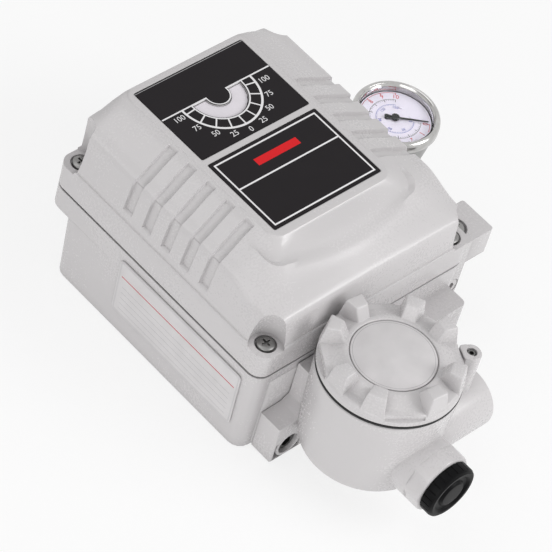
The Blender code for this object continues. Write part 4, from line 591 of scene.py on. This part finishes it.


# Four captive pan-head screws in zinc-plated steel pull the cover down on the gasket. Each has a
# cross recess.
def steel(name, shade=0.42, rough=0.34, scale=700.0):
    """Turned or pressed steel: fine marks, clouds in the polish and soft edges."""
    material, shader, place = new_finish(name, Metallic=1.0)
    cloud = place.noise(240.0, 3.0)
    mark = place.noise(scale, 2.0)
    dull, bright = toned((0.62, 0.61, 0.60), shade), toned((1.10, 1.09, 1.07), shade)
    feed(shader, "Base Color", cloud.mixed(dull, bright))
    feed(shader, "Roughness", (rough - 0.06) + mark * 0.16)
    relief(shader, mark, 0.12, 0.0001, 0.00025)
    return material


def copied(obj, name, offset):
    """A copy of a modelled piece, with its own mesh, moved by an offset."""
    twin = obj.copy()
    twin.data = obj.data.copy()
    twin.data.transform(Matrix.Translation(offset))
    twin.name = name
    bpy.context.scene.collection.objects.link(twin)
    return twin


def crossed(obj, span, width, low, high, at=(0.0, 0.0)):
    """Cuts a cross recess for a driver into a head that faces up."""
    x, y = at
    for half_x, half_y in ((span / 2, width / 2), (width / 2, span / 2)):
        carve(obj, milled("recess", (x - half_x, x + half_x), (y - half_y, y + half_y), (low, high)))


screw = spun("cover_screw", (
    (0.0, 0.0415), (0.0017, 0.0415), (0.0021, 0.0420), (0.0021, 0.0636), (0.0044, 0.0636),
    (0.0044, 0.0649), (0.0042, 0.0655), (0.0036, 0.0659), (0.0024, 0.0662), (0.0, 0.0662),
), 36)
crossed(screw, 0.0046, 0.0010, 0.0648, 0.0680)
for number, (x, y) in enumerate(SCREW_SPOTS, start=1):
    twin = copied(screw, f"cover_screw_piece_{number}", (x, y, 0.0))
    fit(twin, steel(f"screw_zinc_{number}", 0.30, 0.36), "cover", f"cover_screw_{number}")
bpy.data.objects.remove(screw, do_unlink=True)

# Two labels of black lacquered aluminium lie in the plateau's pockets. Their marks are white, and
# the upper one carries the travel dial round the window, with plain numbers.
WHITE_INK = (0.86, 0.85, 0.86, 1.0)
RED_INK = (0.72, 0.015, 0.020, 1.0)


def printed(name, ground, marks, rough=0.30):
    """A printed plate: a ground colour with each mark laid over it, where its mask is 1."""
    material, shader, place = new_finish(name, IOR=1.5, Specular_IOR_Level=0.16)
    cloud = place.noise(90.0, 3.0)
    colour = cloud.mixed(ground, toned(ground, 1.25))
    for mask, laid_over in marks(*(1000.0 * axis for axis in place.axes())):
        colour = mask.mixed(colour, laid_over)
    feed(shader, "Base Color", colour)
    feed(shader, "Roughness", rough + cloud * 0.10)
    relief(shader, place.noise(1500.0, 1.0), 0.05)
    return material


DIAL_START = 10.0
DIAL_STEP = 20.5


def dial_marks(x, y, z):
    """Millimetre places to the dial's arcs, ticks, rule and the fine line at the top."""
    up = y - 1000.0 * WINDOW_Y
    radius = x.reach(up)
    around = x.sum("ARCTAN2", up, x) * -math.degrees(1.0)
    off_tick = ((around - DIAL_START) / DIAL_STEP).off_whole() * radius * math.radians(DIAL_STEP)
    ticks = (radius > 15.5) * (radius < 20.5) * (off_tick < 0.36)
    rings = radius.near(20.95, 0.55).either(radius.near(15.2, 0.35)).either(radius.near(6.15, 0.3))
    rule = y.near(0.05, 0.38) * (abs(x) > 5.9) * (abs(x) < 33.0)
    fine = y.near(18.8, 0.14) * 0.5
    return ((((rings.either(ticks)) * (y < 0.2)).either(rule).either(fine), WHITE_INK),)


def frame_marks(x, y, z):
    """Millimetre places to the lower label's white frame, its rule and a plain red bar."""
    outside = (abs(x) - 30.9).either(abs(y + 54.0) - 20.4)
    rule = y.near(-50.2, 0.42) * (outside < 0.0)
    red_bar = (abs(x) < 13.0) * y.near(-42.0, 2.1)
    return (((abs(outside) < 0.42).either(rule), WHITE_INK), (red_bar, RED_INK))


INK_BLACK = (0.0085, 0.0065, 0.0080, 1.0)
LABEL_Z = (0.0958, 0.09616)
upper = milled("upper_label_plate", (-LABEL_X, LABEL_X), UPPER_LABEL, LABEL_Z, 0.0008)
carve(upper, half_ring("label_hole", 0.0940, 0.0980))
fit(upper, printed("upper_label_print", INK_BLACK, dial_marks), "cover", "upper_label")
lower = milled("lower_label_plate", (-LABEL_X, LABEL_X), LOWER_LABEL, LABEL_Z, 0.0008)
fit(lower, printed("lower_label_print", INK_BLACK, frame_marks), "cover", "lower_label")
INK_DEPTH = 0.00003
DIAL_INK_Z = 0.09617


def lettered(name, words, plane):
    """Numbers of a dial as one thin mesh: (text, x, y, size, turn) each, laid at a height."""
    made = []
    for text, x, y, size, turn in words:
        bpy.ops.object.text_add(location=(0.0, 0.0, 0.0))
        obj = bpy.context.object
        obj.data.body = text
        obj.data.size = size
        obj.data.align_x = "CENTER"
        obj.data.align_y = "CENTER"
        obj.data.extrude = INK_DEPTH / 2
        obj.data.resolution_u = 4
        bpy.ops.object.convert(target="MESH")
        obj = bpy.context.object
        obj.data.transform(Matrix.Translation((x, y, plane)) @ Matrix.Rotation(turn, 4, "Z"))
        made.append(obj)
    bpy.ops.object.select_all(action="DESELECT")
    for obj in made:
        obj.select_set(True)
    bpy.context.view_layer.objects.active = made[0]
    bpy.ops.object.join()
    made[0].name = name
    return made[0]


def ink(name, shade):
    """Screen-printed ink, a little uneven."""
    material, shader, place = new_finish(name, IOR=1.45)
    cloud = place.noise(500.0, 2.0)
    feed(shader, "Base Color", cloud.mixed(toned(shade, 0.86), shade))
    feed(shader, "Roughness", 0.38 + cloud * 0.1)
    return material


dial_words = []
for number, text in enumerate(("100", "75", "50", "25", "0", "25", "50", "75", "100")):
    angle = math.radians(-DIAL_START - DIAL_STEP * number)
    reach = 0.0256 if text == "100" else 0.0246
    dial_words.append((text, reach * math.cos(angle), WINDOW_Y + reach * math.sin(angle), 0.0042, 0.0))
fit(lettered("dial_numbers", dial_words, DIAL_INK_Z), ink("dial_ink", WHITE_INK), "cover")


# The window is a moulded polycarbonate sheet bonded under the roof, milky, with a raised half ring
# that fills the opening. The nameplate is a satin foil, ruled but bare, glued to the left wall.
def moulded(name, shade, rough=0.32, grain=1300.0, sheen=0.5):
    """Moulded plastic: even colour with faint clouds and a fine spark-eroded grain."""
    material, shader, place = new_finish(name, IOR=1.48, Specular_IOR_Level=sheen)
    cloud = place.noise(130.0, 3.0)
    feed(shader, "Base Color", cloud.mixed(toned(shade, 0.88), shade))
    feed(shader, "Roughness", rough + cloud * 0.10)
    relief(shader, place.noise(grain, 1.0), 0.10, 0.0001, 0.0003)
    return material


dress("window_lens", moulded("milky_window", (0.84, 0.80, 0.85, 1.0), 0.14))


def plate_marks(x, y, z):
    """The nameplate's red rule, a painted shade along its edge, and blank ruled fields."""
    inside = y.near(-65.0, 39.6) * z.near(28.75, 15.4)
    # Painted shade: a darker band round the plate's edge, where it meets the wall.
    edge = (1.0 - inside) * y.near(-65.0, 40.6)
    rule = z.near(36.0, 0.28) * y.near(-65.0, 38.6)
    rows = ((z - 15.5) / 3.6).off_whole() < 0.028
    fields = rows * (z < 32.5) * (z > 14.5) * y.near(-65.0, 37.0)
    return (
        (edge * 0.35, (0.45, 0.44, 0.45, 1.0)), (fields * 0.55, (0.20, 0.20, 0.21, 1.0)),
        (rule, (0.55, 0.05, 0.06, 1.0)),
    )


dress("nameplate", printed("nameplate_print", (0.60, 0.585, 0.59, 1.0), plate_marks, 0.28))


# The terminal box is a second casting: a tapered round drum with a bolted flange behind it, two
# conduit bosses, and a lug beside the drum for the cap's lock screw. It is painted like the base.
BOX_X = -0.0227
BOX_Y = -0.1497
AT_BOX = (BOX_X, BOX_Y, 0.0)
CONDUIT_Z = 0.0340
FRONT_BOSS_END = -0.1956
SIDE_ENTRY_Y = -0.1650
ENTRY_RADIUS = 0.0102
LOCK_ANGLE = math.radians(-24)
LOCK_REACH = 0.0388
LOCK_SPOT = (BOX_X + LOCK_REACH * math.cos(LOCK_ANGLE), BOX_Y + LOCK_REACH * math.sin(LOCK_ANGLE))
FLANGE_BACK = -0.1150
FLANGE_FRONT = -0.1276
BOLT_Z = 0.0082
BOLT_REACH = 0.0248
THREAD_STEP = 0.0018
ENTRY_THREAD = ((0.0098, -0.0007), (0.0102, -0.0007), (0.0107, 0.0), (0.0102, 0.0007), (0.0098, 0.0007))
turned_forward = Matrix.Rotation(math.radians(-90), 4, "X")
at_front_entry = Matrix.Translation((BOX_X, FRONT_BOSS_END, CONDUIT_Z)) @ turned_forward


def round_box(obj, angle):
    """Moves a piece that is modelled on +X to its place round the drum's axis."""
    obj.data.transform(Matrix.Translation(AT_BOX) @ Matrix.Rotation(angle, 4, "Z"))
    return obj


def drill(name, radius, low, high, sides, at, axis="Z"):
    """A plain turned bar from one height to another, as a cutter."""
    return spun(name, ((0.0, low), (radius, low), (radius, high), (0.0, high)), sides, at, axis)


box = spun("terminal_casting", (
    (0.0, 0.0180), (0.0285, 0.0180), (0.0303, 0.0186), (0.0313, 0.0198), (0.0320, 0.0260), (0.0333, 0.0570),
    (0.0334, 0.0575), (0.0334, 0.0664), (0.0328, 0.0670), (0.0, 0.0670),
), 120, AT_BOX)
bpy.ops.mesh.primitive_plane_add(size=1.0)
flange = bpy.context.object
flange_outline = (
    (-0.0341, 0.0004), (0.0341, 0.0004), (0.0341, 0.0236), (0.0225, 0.0240), (0.0129, 0.0300),
    (-0.0129, 0.0300), (-0.0225, 0.0240), (-0.0341, 0.0236),
)
outline = bmesh.new()
outline.faces.new([outline.verts.new((BOX_X + x, FLANGE_FRONT, z)) for x, z in flange_outline])
outline.to_mesh(flange.data)
outline.free()
bpy.ops.object.mode_set(mode="EDIT")
bpy.ops.mesh.select_all(action="SELECT")
bpy.ops.mesh.extrude_region_move(TRANSFORM_OT_translate={"value": (0.0, FLANGE_BACK - FLANGE_FRONT, 0.0)})
bpy.ops.mesh.select_all(action="SELECT")
bpy.ops.mesh.normals_make_consistent(inside=False)
bpy.ops.mesh.select_mode(type="EDGE")
mesh = bmesh.from_edit_mesh(flange.data)
for edge in mesh.edges:
    edge.select = all(abs(vertex.co.y - FLANGE_FRONT) < 1e-6 for vertex in edge.verts)
bmesh.update_edit_mesh(flange.data)
bpy.ops.mesh.bevel(offset=0.0008, segments=3, affect="EDGES")
bpy.ops.object.mode_set(mode="OBJECT")
carve(box, flange, "UNION")
neck_y = (BOX_Y + 0.006, FLANGE_BACK - 0.0002)
carve(box, milled("neck", (BOX_X - 0.018, BOX_X + 0.018), neck_y, (0.0190, 0.0480)), "UNION")
carve(box, spun("front_boss", (
    (0.0, 0.0), (0.0143, 0.0), (0.0152, 0.0005), (0.0155, 0.0014), (0.0155, 0.0419), (0.0, 0.0419),
), 72, (BOX_X, FRONT_BOSS_END, CONDUIT_Z), "Y"), "UNION")
carve(box, spun("side_boss", (
    (0.0, 0.0), (0.0155, 0.0), (0.0155, 0.0393), (0.0152, 0.0402), (0.0143, 0.0407), (0.0, 0.0407),
), 72, (BOX_X + 0.0070, SIDE_ENTRY_Y, CONDUIT_Z), "X"), "UNION")
carve(box, spun("lock_lug", (
    (0.0, 0.0445), (0.0044, 0.0445), (0.0048, 0.0450), (0.0048, 0.0714), (0.0044, 0.0719), (0.0, 0.0720),
), 32, (*LOCK_SPOT, 0.0)), "UNION")
for name, reach, half, height, corner in (
    ("lock_web", (0.0300, 0.0388), 0.0035, (0.0440, 0.0655), 0.0),
    ("lock_ear", (0.0339, 0.0385), 0.0042, (0.0560, 0.0726), 0.0012),
):
    carve(box, round_box(milled(name, reach, (-half, half), height, corner, 2), LOCK_ANGLE), "UNION")
for tool in (
    drill("chamber", 0.0280, 0.0240, 0.0690, 96, AT_BOX),
    drill("front_bore", ENTRY_RADIUS, -0.0020, 0.0330, 48, (BOX_X, FRONT_BOSS_END, CONDUIT_Z), "Y"),
    drill("side_bore", ENTRY_RADIUS, 0.0, 0.0350, 48, (-0.0080, SIDE_ENTRY_Y, CONDUIT_Z), "X"),
    drill("lead_bore", 0.0053, 0.0, 0.0160, 24, (BOX_X, -0.1290, 0.0360), "Y"),
    drill("lock_bore", 0.0025, 0.0580, 0.0740, 24, (*LOCK_SPOT, 0.0)),
):
    carve(box, tool)
for side in (-1, 1):
    bolt_x = BOX_X + BOLT_REACH * side
    carve(box, spun("bolt_hole", (
        (0.0, 0.0), (0.0058, 0.0), (0.0058, 0.010), (0.0033, 0.010), (0.0033, 0.020), (0.0, 0.020),
    ), 36, (bolt_x, -0.1300, BOLT_Z), "Y"))
    pocket = milled("bolt_pocket", (bolt_x - 0.0083, bolt_x + 0.0083), (-0.1300, -0.1195), (0.0012, 0.0118))
    carve(pocket, drill("boss", 0.0073, 0.0, 0.0150, 40, (bolt_x, -0.1310, BOLT_Z), "Y"))
    carve(box, pocket)
for number in range(8):
    flat = milled("flat", (0.0148, 0.0180), (-0.0080, 0.0080), (-0.0010, 0.0085))
    flat.data.transform(at_front_entry @ Matrix.Rotation(math.radians(22.5 + 45 * number), 4, "Z"))
    carve(box, flat)
for number in range(7):
    spot = (BOX_X, FRONT_BOSS_END + 0.0155 + THREAD_STEP * number, CONDUIT_Z)
    carve(box, spun("front_thread", ENTRY_THREAD, 48, spot, "Y"))
for number in range(10):
    spot = (0.0232 - THREAD_STEP * number, SIDE_ENTRY_Y, CONDUIT_Z)
    carve(box, spun("side_thread", ENTRY_THREAD, 48, spot, "X"))
fit(box, cast_paint("terminal_coat"), "housing", "terminal_housing")

# Two black-oxide socket-head bolts hold the box on the base, sunk in the flange's lower corners.
bolt = spun("flange_bolt", (
    (0.0, 0.0), (0.0030, 0.0), (0.0030, 0.0090), (0.0046, 0.0090), (0.0050, 0.0094), (0.0050, 0.0143),
    (0.0048, 0.0147), (0.0044, 0.0149), (0.0, 0.0149),
), 40)
carve(bolt, bar("socket", 0.0029, 0.0119, 0.0170, 6))
bolt.data.transform(Matrix.Rotation(math.radians(90), 4, "X"))
for number, side in enumerate((-1, 1), start=1):
    twin = copied(bolt, f"flange_bolt_piece_{number}", (BOX_X + BOLT_REACH * side, -0.1113, BOLT_Z))
    fit(twin, steel(f"black_oxide_{number}", 0.075, 0.42), "housing", f"flange_bolt_{number}")
bpy.data.objects.remove(bolt, do_unlink=True)

# The cap screws into the drum on a fine thread, over a ring of black rubber. It is cast in the same
# alloy, with four pairs of grips round a raised middle that takes a plain disc of thin plate.
seal = spun("cap_ring_seal", (
    (0.0286, 0.0673), (0.0331, 0.0673), (0.0336, 0.0676), (0.0337, 0.0679),
    (0.0336, 0.0682), (0.0331, 0.0685), (0.0286, 0.0685),
), 120, AT_BOX)
fit(seal, rubber("ring_black", 0.009), "cap_seal", "cap_o_ring")

cap = spun("terminal_cap_casting", (
    (0.0, 0.0700), (0.0213, 0.0700), (0.0233, 0.0680), (0.0233, 0.0590), (0.0270, 0.0590), (0.0275, 0.0595),
    (0.0275, 0.0688), (0.0331, 0.0688), (0.0335, 0.0692), (0.0335, 0.0726), (0.0334, 0.0731),
    (0.0323, 0.0743), (0.0319, 0.0745), (0.0291, 0.0745), (0.0284, 0.0747), (0.0231, 0.0771),
    (0.0224, 0.0774), (0.0207, 0.0774), (0.0203, 0.0771), (0.0201, 0.0762), (0.0, 0.0762),
), 120, AT_BOX)
grip = milled("grip", (0.0192, 0.0331), (-0.0060, 0.0060), (0.0722, 0.0835))
bpy.ops.object.mode_set(mode="EDIT")
bpy.ops.mesh.select_mode(type="EDGE")
mesh = bmesh.from_edit_mesh(grip.data)
for vertex in mesh.verts:
    outer, raised = vertex.co.x > 0.025, vertex.co.z > 0.075
    half = (0.0044 if raised else 0.0060) if outer else (0.0033 if raised else 0.0035)
    vertex.co.y = math.copysign(half, vertex.co.y)
    if raised:
        vertex.co.x = 0.0317 if outer else 0.0254
for edge in mesh.edges:
    raised = [vertex.co.z > 0.075 for vertex in edge.verts]
    outer = [vertex.co.x > 0.025 for vertex in edge.verts]
    edge.select = all(raised) or raised[0] != raised[1] or (all(outer) and not any(raised))
bmesh.update_edit_mesh(grip.data)
bpy.ops.mesh.bevel(offset=0.0006, segments=3, affect="EDGES")
bpy.ops.object.mode_set(mode="OBJECT")
GRIP_PAIRS = 4
GRIP_SPREAD = math.radians(18)
for number in range(GRIP_PAIRS):
    middle = math.radians(12 + 360 / GRIP_PAIRS * number)
    flat = milled("flat", (0.0316, 0.0350), (-0.0090, 0.0090), (0.0718, 0.0760))
    carve(cap, round_box(flat, middle + math.radians(45)))
    for angle in (middle - GRIP_SPREAD, middle + GRIP_SPREAD):
        carve(cap, round_box(copied(grip, "grip_copy", (0.0, 0.0, 0.0)), angle), "UNION")
bpy.data.objects.remove(grip, do_unlink=True)
carve(cap, spun("dish", (
    (0.0, 0.0762), (0.0201, 0.0762), (0.0203, 0.0771), (0.0205, 0.0840), (0.0, 0.0840),
), 96, AT_BOX))
for number in range(5):
    carve(cap, spun("cap_thread", (
        (0.0270, -0.0009), (0.0280, -0.0009), (0.0280, 0.0009), (0.0270, 0.0),
    ), 96, (BOX_X, BOX_Y, 0.0608 + 0.0020 * number)))
fit(cap, cast_paint("cap_coat", 0.0007), "cap", "terminal_cap")

disc = spun("cap_centre_disc", (
    (0.0, 0.0765), (0.0196, 0.0765), (0.0197, 0.0766), (0.0197, 0.0770), (0.0195, 0.0771), (0.0, 0.0771),
), 96, AT_BOX)


def disc_marks(x, y, z):
    """A thin ruled circle near the disc's edge."""
    radius = (x - 1000.0 * BOX_X).reach(y - 1000.0 * BOX_Y)
    return ((radius.near(18.7, 0.10) * 0.55, (0.22, 0.22, 0.23, 1.0)),)


fit(disc, printed("cap_disc_print", (0.585, 0.568, 0.573, 1.0), disc_marks, 0.30), "cap", "cap_disc")

# The lock screw is a small socket set screw of blued steel in the lug beside the drum. It is there
# to keep the cap from coming loose.
lock = spun("lock_screw_piece", (
    (0.0, 0.0590), (0.0017, 0.0590), (0.0021, 0.0594), (0.0021, 0.0711), (0.0018, 0.0714), (0.0, 0.0714),
), 28, (*LOCK_SPOT, 0.0))
carve(lock, bar("lock_socket", 0.00115, 0.0690, 0.0734, 6, LOCK_SPOT))
fit(lock, steel("lock_screw_steel", 0.20, 0.40), "housing", "cap_lock_screw")

# A black nylon plug closes the front conduit entry until a cable gland takes its place. Its head
# is dished, with a raised middle and a moulded grip round the edge.
plug = spun("conduit_plug_piece", (
    (0.0, -0.0066), (0.0050, -0.0068), (0.0062, -0.0067), (0.0070, -0.0060), (0.0074, -0.0054),
    (0.0096, -0.0054), (0.0101, -0.0060), (0.0108, -0.0066), (0.0122, -0.0067), (0.0133, -0.0061),
    (0.0138, -0.0050), (0.0138, -0.0003), (0.0099, -0.0003), (0.0099, 0.0130), (0.0079, 0.0130),
    (0.0079, -0.0030), (0.0, -0.0030),
), 72)
PLUG_NICKS = 24
for number in range(PLUG_NICKS):
    nick = milled("nick", (0.01352, 0.0150), (-0.0003, 0.0003), (-0.0055, -0.0001))
    nick.data.transform(Matrix.Rotation(2 * math.pi * number / PLUG_NICKS, 4, "Z"))
    carve(plug, nick)
plug.data.transform(at_front_entry)
fit(plug, moulded("plug_nylon", (0.0045, 0.0045, 0.0050, 1.0), 0.34, sheen=0.08), "plug", "conduit_plug")

# Inside the box: the terminal strip of black phenolic on the chamber's floor, and the potted brass
# bush that carries the wires through to the housing.
dress("terminal_strip", moulded("phenolic", (0.030, 0.028, 0.028, 1.0), 0.42))


def brass(name, shade=(0.62, 0.43, 0.17), rough=0.28):
    """Drawn brass, with a warm tarnish in clouds and fine turning marks."""
    material, shader, place = new_finish(name, Metallic=1.0)
    cloud = place.noise(220.0, 3.0)
    feed(shader, "Base Color", cloud.mixed(toned(shade, 0.66), (*shade, 1.0)))
    feed(shader, "Roughness", rough + cloud * 0.14)
    relief(shader, place.noise(1400.0, 2.0), 0.12, 0.0001, 0.0002)
    return material


dress("lead_through_bush", brass("bush_brass"))

# The pilot block is an aluminium casting bolted to the right wall. It holds the spool that sends the
# air to either outlet, the supply port, and a boss for the gauge; its ports are tapped and bare.
pilot = recast("pilot_block", "pilot_block_casting")
PORT_THREAD = ((0.0056, -0.0006), (0.0059, -0.0006), (0.0063, 0.0), (0.0059, 0.0006), (0.0056, 0.0006))
for number in range(4):
    depth = 0.0014 * number
    carve(pilot, spun("supply_thread", PORT_THREAD, 40, (0.0908 - depth, -0.0972, 0.0430), "X"))
    carve(pilot, spun("outlet_thread", PORT_THREAD, 40, (0.0781 - depth, -0.0765, 0.0340), "X"))
fit(pilot, cast_paint("pilot_coat", 0.0008), "housing", "pilot_block")

# Two socket screws of black-oxide steel pass through the block into the wall, and pull the block's
# back against the casting.
for number in (1, 2):
    dress(f"block_screw_{number}", steel(f"block_screw_oxide_{number}", 0.10, 0.40))

# The auto/manual screw is a turned steel needle with a crossed head, screwed into the block's top.
# It bypasses the pilot when it is open.
AUTO_SPOT = (0.0761, -0.0970)
needle = spun("auto_screw_piece", (
    (0.0, 0.0410), (0.0020, 0.0410), (0.0025, 0.0415), (0.0025, 0.0488), (0.0052, 0.0488), (0.0052, 0.0504),
    (0.0050, 0.0508), (0.0044, 0.0513), (0.0034, 0.0517), (0.0020, 0.0518), (0.0, 0.0518),
), 40, (*AUTO_SPOT, 0.0))
crossed(needle, 0.0056, 0.0012, 0.0500, 0.0540, AUTO_SPOT)
fit(needle, steel("needle_nickel", 0.34, 0.30), "auto_screw", "auto_manual_screw")

# Inside the block: the lapped steel spool and its return spring of music wire, with two plugs at
# the ends that are painted over with the block.
dress("pilot_spool", steel("spool_lapped", 0.55, 0.22, 1600.0))
dress("spool_spring", steel("spring_wire", 0.34, 0.30, 1100.0))
for number in (1, 2):
    dress(f"pilot_end_plug_{number}", cast_paint(f"end_plug_coat_{number}", 0.0002))

# The pressure gauge is bought in: a hexagon stem of brass, a drawn steel case, and a rolled bezel
# of polished stainless steel that holds the glass.
GAUGE_SPOT = (0.08895, -0.0383, 0.0)
dress("gauge_stem", brass("stem_brass"))
case = spun("gauge_case_piece", (
    (0.0, 0.0400), (0.0146, 0.0400), (0.0154, 0.0402), (0.0161, 0.0407), (0.0166, 0.0413), (0.0169, 0.0421),
    (0.0203, 0.0624), (0.0191, 0.0624), (0.0156, 0.0430), (0.0, 0.0430),
), 96, GAUGE_SPOT)
fit(case, steel("case_steel", 0.36, 0.30, 500.0), "housing", "gauge_case")
bezel = spun("gauge_bezel_piece", (
    (0.0180, 0.0627), (0.0209, 0.0627), (0.0213, 0.0629), (0.0215, 0.0634), (0.0215, 0.0664),
    (0.0213, 0.0673), (0.0208, 0.0681), (0.0200, 0.0686), (0.0194, 0.0687), (0.0190, 0.0685),
    (0.0187, 0.0680), (0.0180, 0.0672),
), 120, GAUGE_SPOT)
fit(bezel, steel("bezel_polished", 0.60, 0.15, 260.0), "housing", "gauge_bezel")
GAUGE_STEP = 27.0
TICK_STEP = GAUGE_STEP / 5
GAUGE_BLACK = (0.015, 0.012, 0.020, 1.0)
GAUGE_RED = (0.62, 0.02, 0.03, 1.0)
GAUGE_BLUE = (0.05, 0.07, 0.42, 1.0)
GAUGE_INK_Z = 0.06374


def gauge_marks(x, y, z):
    """Two scales round a gap that faces right: black ticks and red ticks outside, blue inside."""
    across, ahead = x - 1000.0 * GAUGE_SPOT[0], y - 1000.0 * GAUGE_SPOT[1]
    radius = across.reach(ahead)
    around = across.sum("ARCTAN2", ahead * -1.0, across * -1.0) * math.degrees(1.0)
    swept = abs(around) < 135.4
    off_number = (around / GAUGE_STEP).off_whole() * radius * math.radians(GAUGE_STEP)
    off_tick = (around / TICK_STEP).off_whole() * radius * math.radians(TICK_STEP)
    outer = radius.near(12.55, 0.09).either(radius.near(12.1, 0.5) * (off_tick < 0.09))
    outer = outer.either(radius.near(11.8, 0.85) * (off_number < 0.17))
    inner = radius.near(9.25, 0.08).either(radius.near(8.9, 0.4) * (off_tick < 0.07))
    rim = radius.near(16.9, 0.12).either(radius.near(16.3, 0.7) * (off_number < 0.2))
    return ((outer * swept, GAUGE_BLACK), (rim * swept, GAUGE_RED), (inner * swept, GAUGE_BLUE))


def gauge_numbers(name, values, reach, size, step, colour):
    """Plain numbers set round the gauge's dial, with their feet towards its middle."""
    words = []
    for number, value in enumerate(values):
        angle = math.radians(-45.0 - step * number)
        x, y = GAUGE_SPOT[0] + reach * math.cos(angle), GAUGE_SPOT[1] + reach * math.sin(angle)
        words.append((str(value), x, y, size, angle - math.radians(90.0)))
    fit(lettered(f"gauge_{name}_numbers", words, GAUGE_INK_Z), colour, "housing")


dress("gauge_dial", printed("gauge_face", (0.78, 0.74, 0.84, 1.0), gauge_marks, 0.32))
gauge_numbers("outer", range(11), 0.0145, 0.0034, GAUGE_STEP, ink("gauge_red_ink", GAUGE_RED))
gauge_numbers("inner", range(0, 151, 30), 0.0074, 0.0021, 2 * GAUGE_STEP, ink("gauge_blue_ink", GAUGE_BLUE))

# The pointer is a stamped strip with a broad tail, pressed on a turned brass hub. Float glass in
# a thin round pane covers it.
pointer = recast("gauge_pointer", "gauge_pointer_blade")
fit(pointer, moulded("pointer_lacquer", (0.010, 0.010, 0.011, 1.0), 0.30), "pointer", "gauge_pointer")


def clear_glass(name):
    """Float glass: clear, with a faint smear on it."""
    material, shader, place = new_finish(name, IOR=1.15, Transmission_Weight=1.0, Specular_IOR_Level=0.4)
    smear = place.noise(60.0, 3.0)
    feed(shader, "Base Color", smear.mixed((0.97, 0.98, 0.98, 1.0), (1.0, 1.0, 1.0, 1.0)))
    feed(shader, "Roughness", 0.01 + smear * 0.03)
    return material


dress("gauge_glass", clear_glass("gauge_pane"))

# The shaft train. The stainless shaft turns in two sintered bronze bushes, dull and dark with oil.
# On it sit the laser-cut cam, its nut, and under the window the moulded indicator with its screw.
dress("main_shaft", steel("shaft_stainless", 0.50, 0.28, 1300.0))
for end in ("lower", "upper"):
    dress(f"shaft_bush_{end}", brass(f"{end}_bush_bronze", (0.44, 0.27, 0.13), 0.42))
dress("cam", steel("cam_plate", 0.48, 0.34, 420.0))
dress("cam_nut", steel("nut_zinc", 0.42, 0.36))


def indicator_colours(x, y, z):
    """The raised arrow of the indicator is red, on a pale disc with a black rim."""
    radius = x.reach(y)
    rim = radius.near(15.6, 0.3) * (z > 84.0)
    arrow = (z > 85.95) * (radius < 15.6)
    return ((rim, (0.02, 0.02, 0.02, 1.0)), (arrow, RED_INK))


dress("position_indicator", printed("indicator_print", (0.72, 0.70, 0.74, 1.0), indicator_colours, 0.36))
dress("indicator_screw", steel("indicator_screw_zinc", 0.36, 0.34))

# The feedback lever is a zinc-plated steel arm on a pin. Its roller of brass runs on the cam, and
# a tension spring joins its tail to the armature's post.
dress("feedback_lever", steel("lever_zinc", 0.42, 0.36, 500.0))
dress("lever_pivot_pin", steel("pivot_ground", 0.52, 0.24, 1500.0))
dress("lever_retaining_ring", steel("ring_spring_steel", 0.14, 0.36))
dress("cam_roller", brass("roller_brass", rough=0.24))
dress("roller_pin", steel("roller_pin_steel", 0.46, 0.28))
dress("feedback_spring", steel("feedback_spring_wire", 0.32, 0.30, 1100.0))
dress("zero_adjusting_wheel", moulded("zero_wheel_nylon", (0.62, 0.60, 0.58, 1.0), 0.38))
dress("zero_spindle", steel("spindle_steel", 0.46, 0.30))

# The torque motor: a yoke of soft iron on two screws, two ferrite magnets, a taped coil of copper
# wire, and the armature, whose end is the flapper of the nozzle.
dress("motor_yoke", steel("yoke_iron", 0.16, 0.48, 380.0))
for number in (1, 2):
    dress(f"motor_screw_{number}", steel(f"motor_screw_zinc_{number}", 0.40, 0.34))
for side in ("left", "right"):
    dress(f"magnet_{side}", moulded(f"ferrite_{side}", (0.030, 0.029, 0.030, 1.0), 0.50, 900.0))


def winding(name):
    """Lacquered copper wire laid in turns, as fine ridges across the coil, with painted shade between the
    turns and painted highlight on them.
    """
    material, shader, place = new_finish(name, Metallic=0.7, Coat_Weight=0.4)
    y = 1000.0 * place.axes()[1]
    # Painted shade and highlight: the colour follows the ridges, darker between the turns and lighter on
    # them, over random clouds of tone.
    wave = y.sum("SINE", y * 15.0)
    cloud = place.noise(180.0, 3.0)
    share = wave * 0.3 + cloud * 0.5
    feed(shader, "Base Color", share.mixed((0.22, 0.07, 0.03, 1.0), (0.56, 0.22, 0.09, 1.0)))
    feed(shader, "Roughness", 0.34 + cloud * 0.14)
    relief(shader, wave, 0.5, 0.0002)
    return material


dress("motor_coil", winding("coil_wire"))
dress("armature", steel("armature_iron", 0.30, 0.38, 600.0))
dress("armature_pivot_pin", steel("armature_pin_steel", 0.50, 0.26, 1500.0))
dress("nozzle", brass("nozzle_brass", rough=0.24))
dress("nozzle_block", cast_paint("nozzle_block_coat", 0.0003, 0.6, (0.46, 0.46, 0.47, 1.0)))
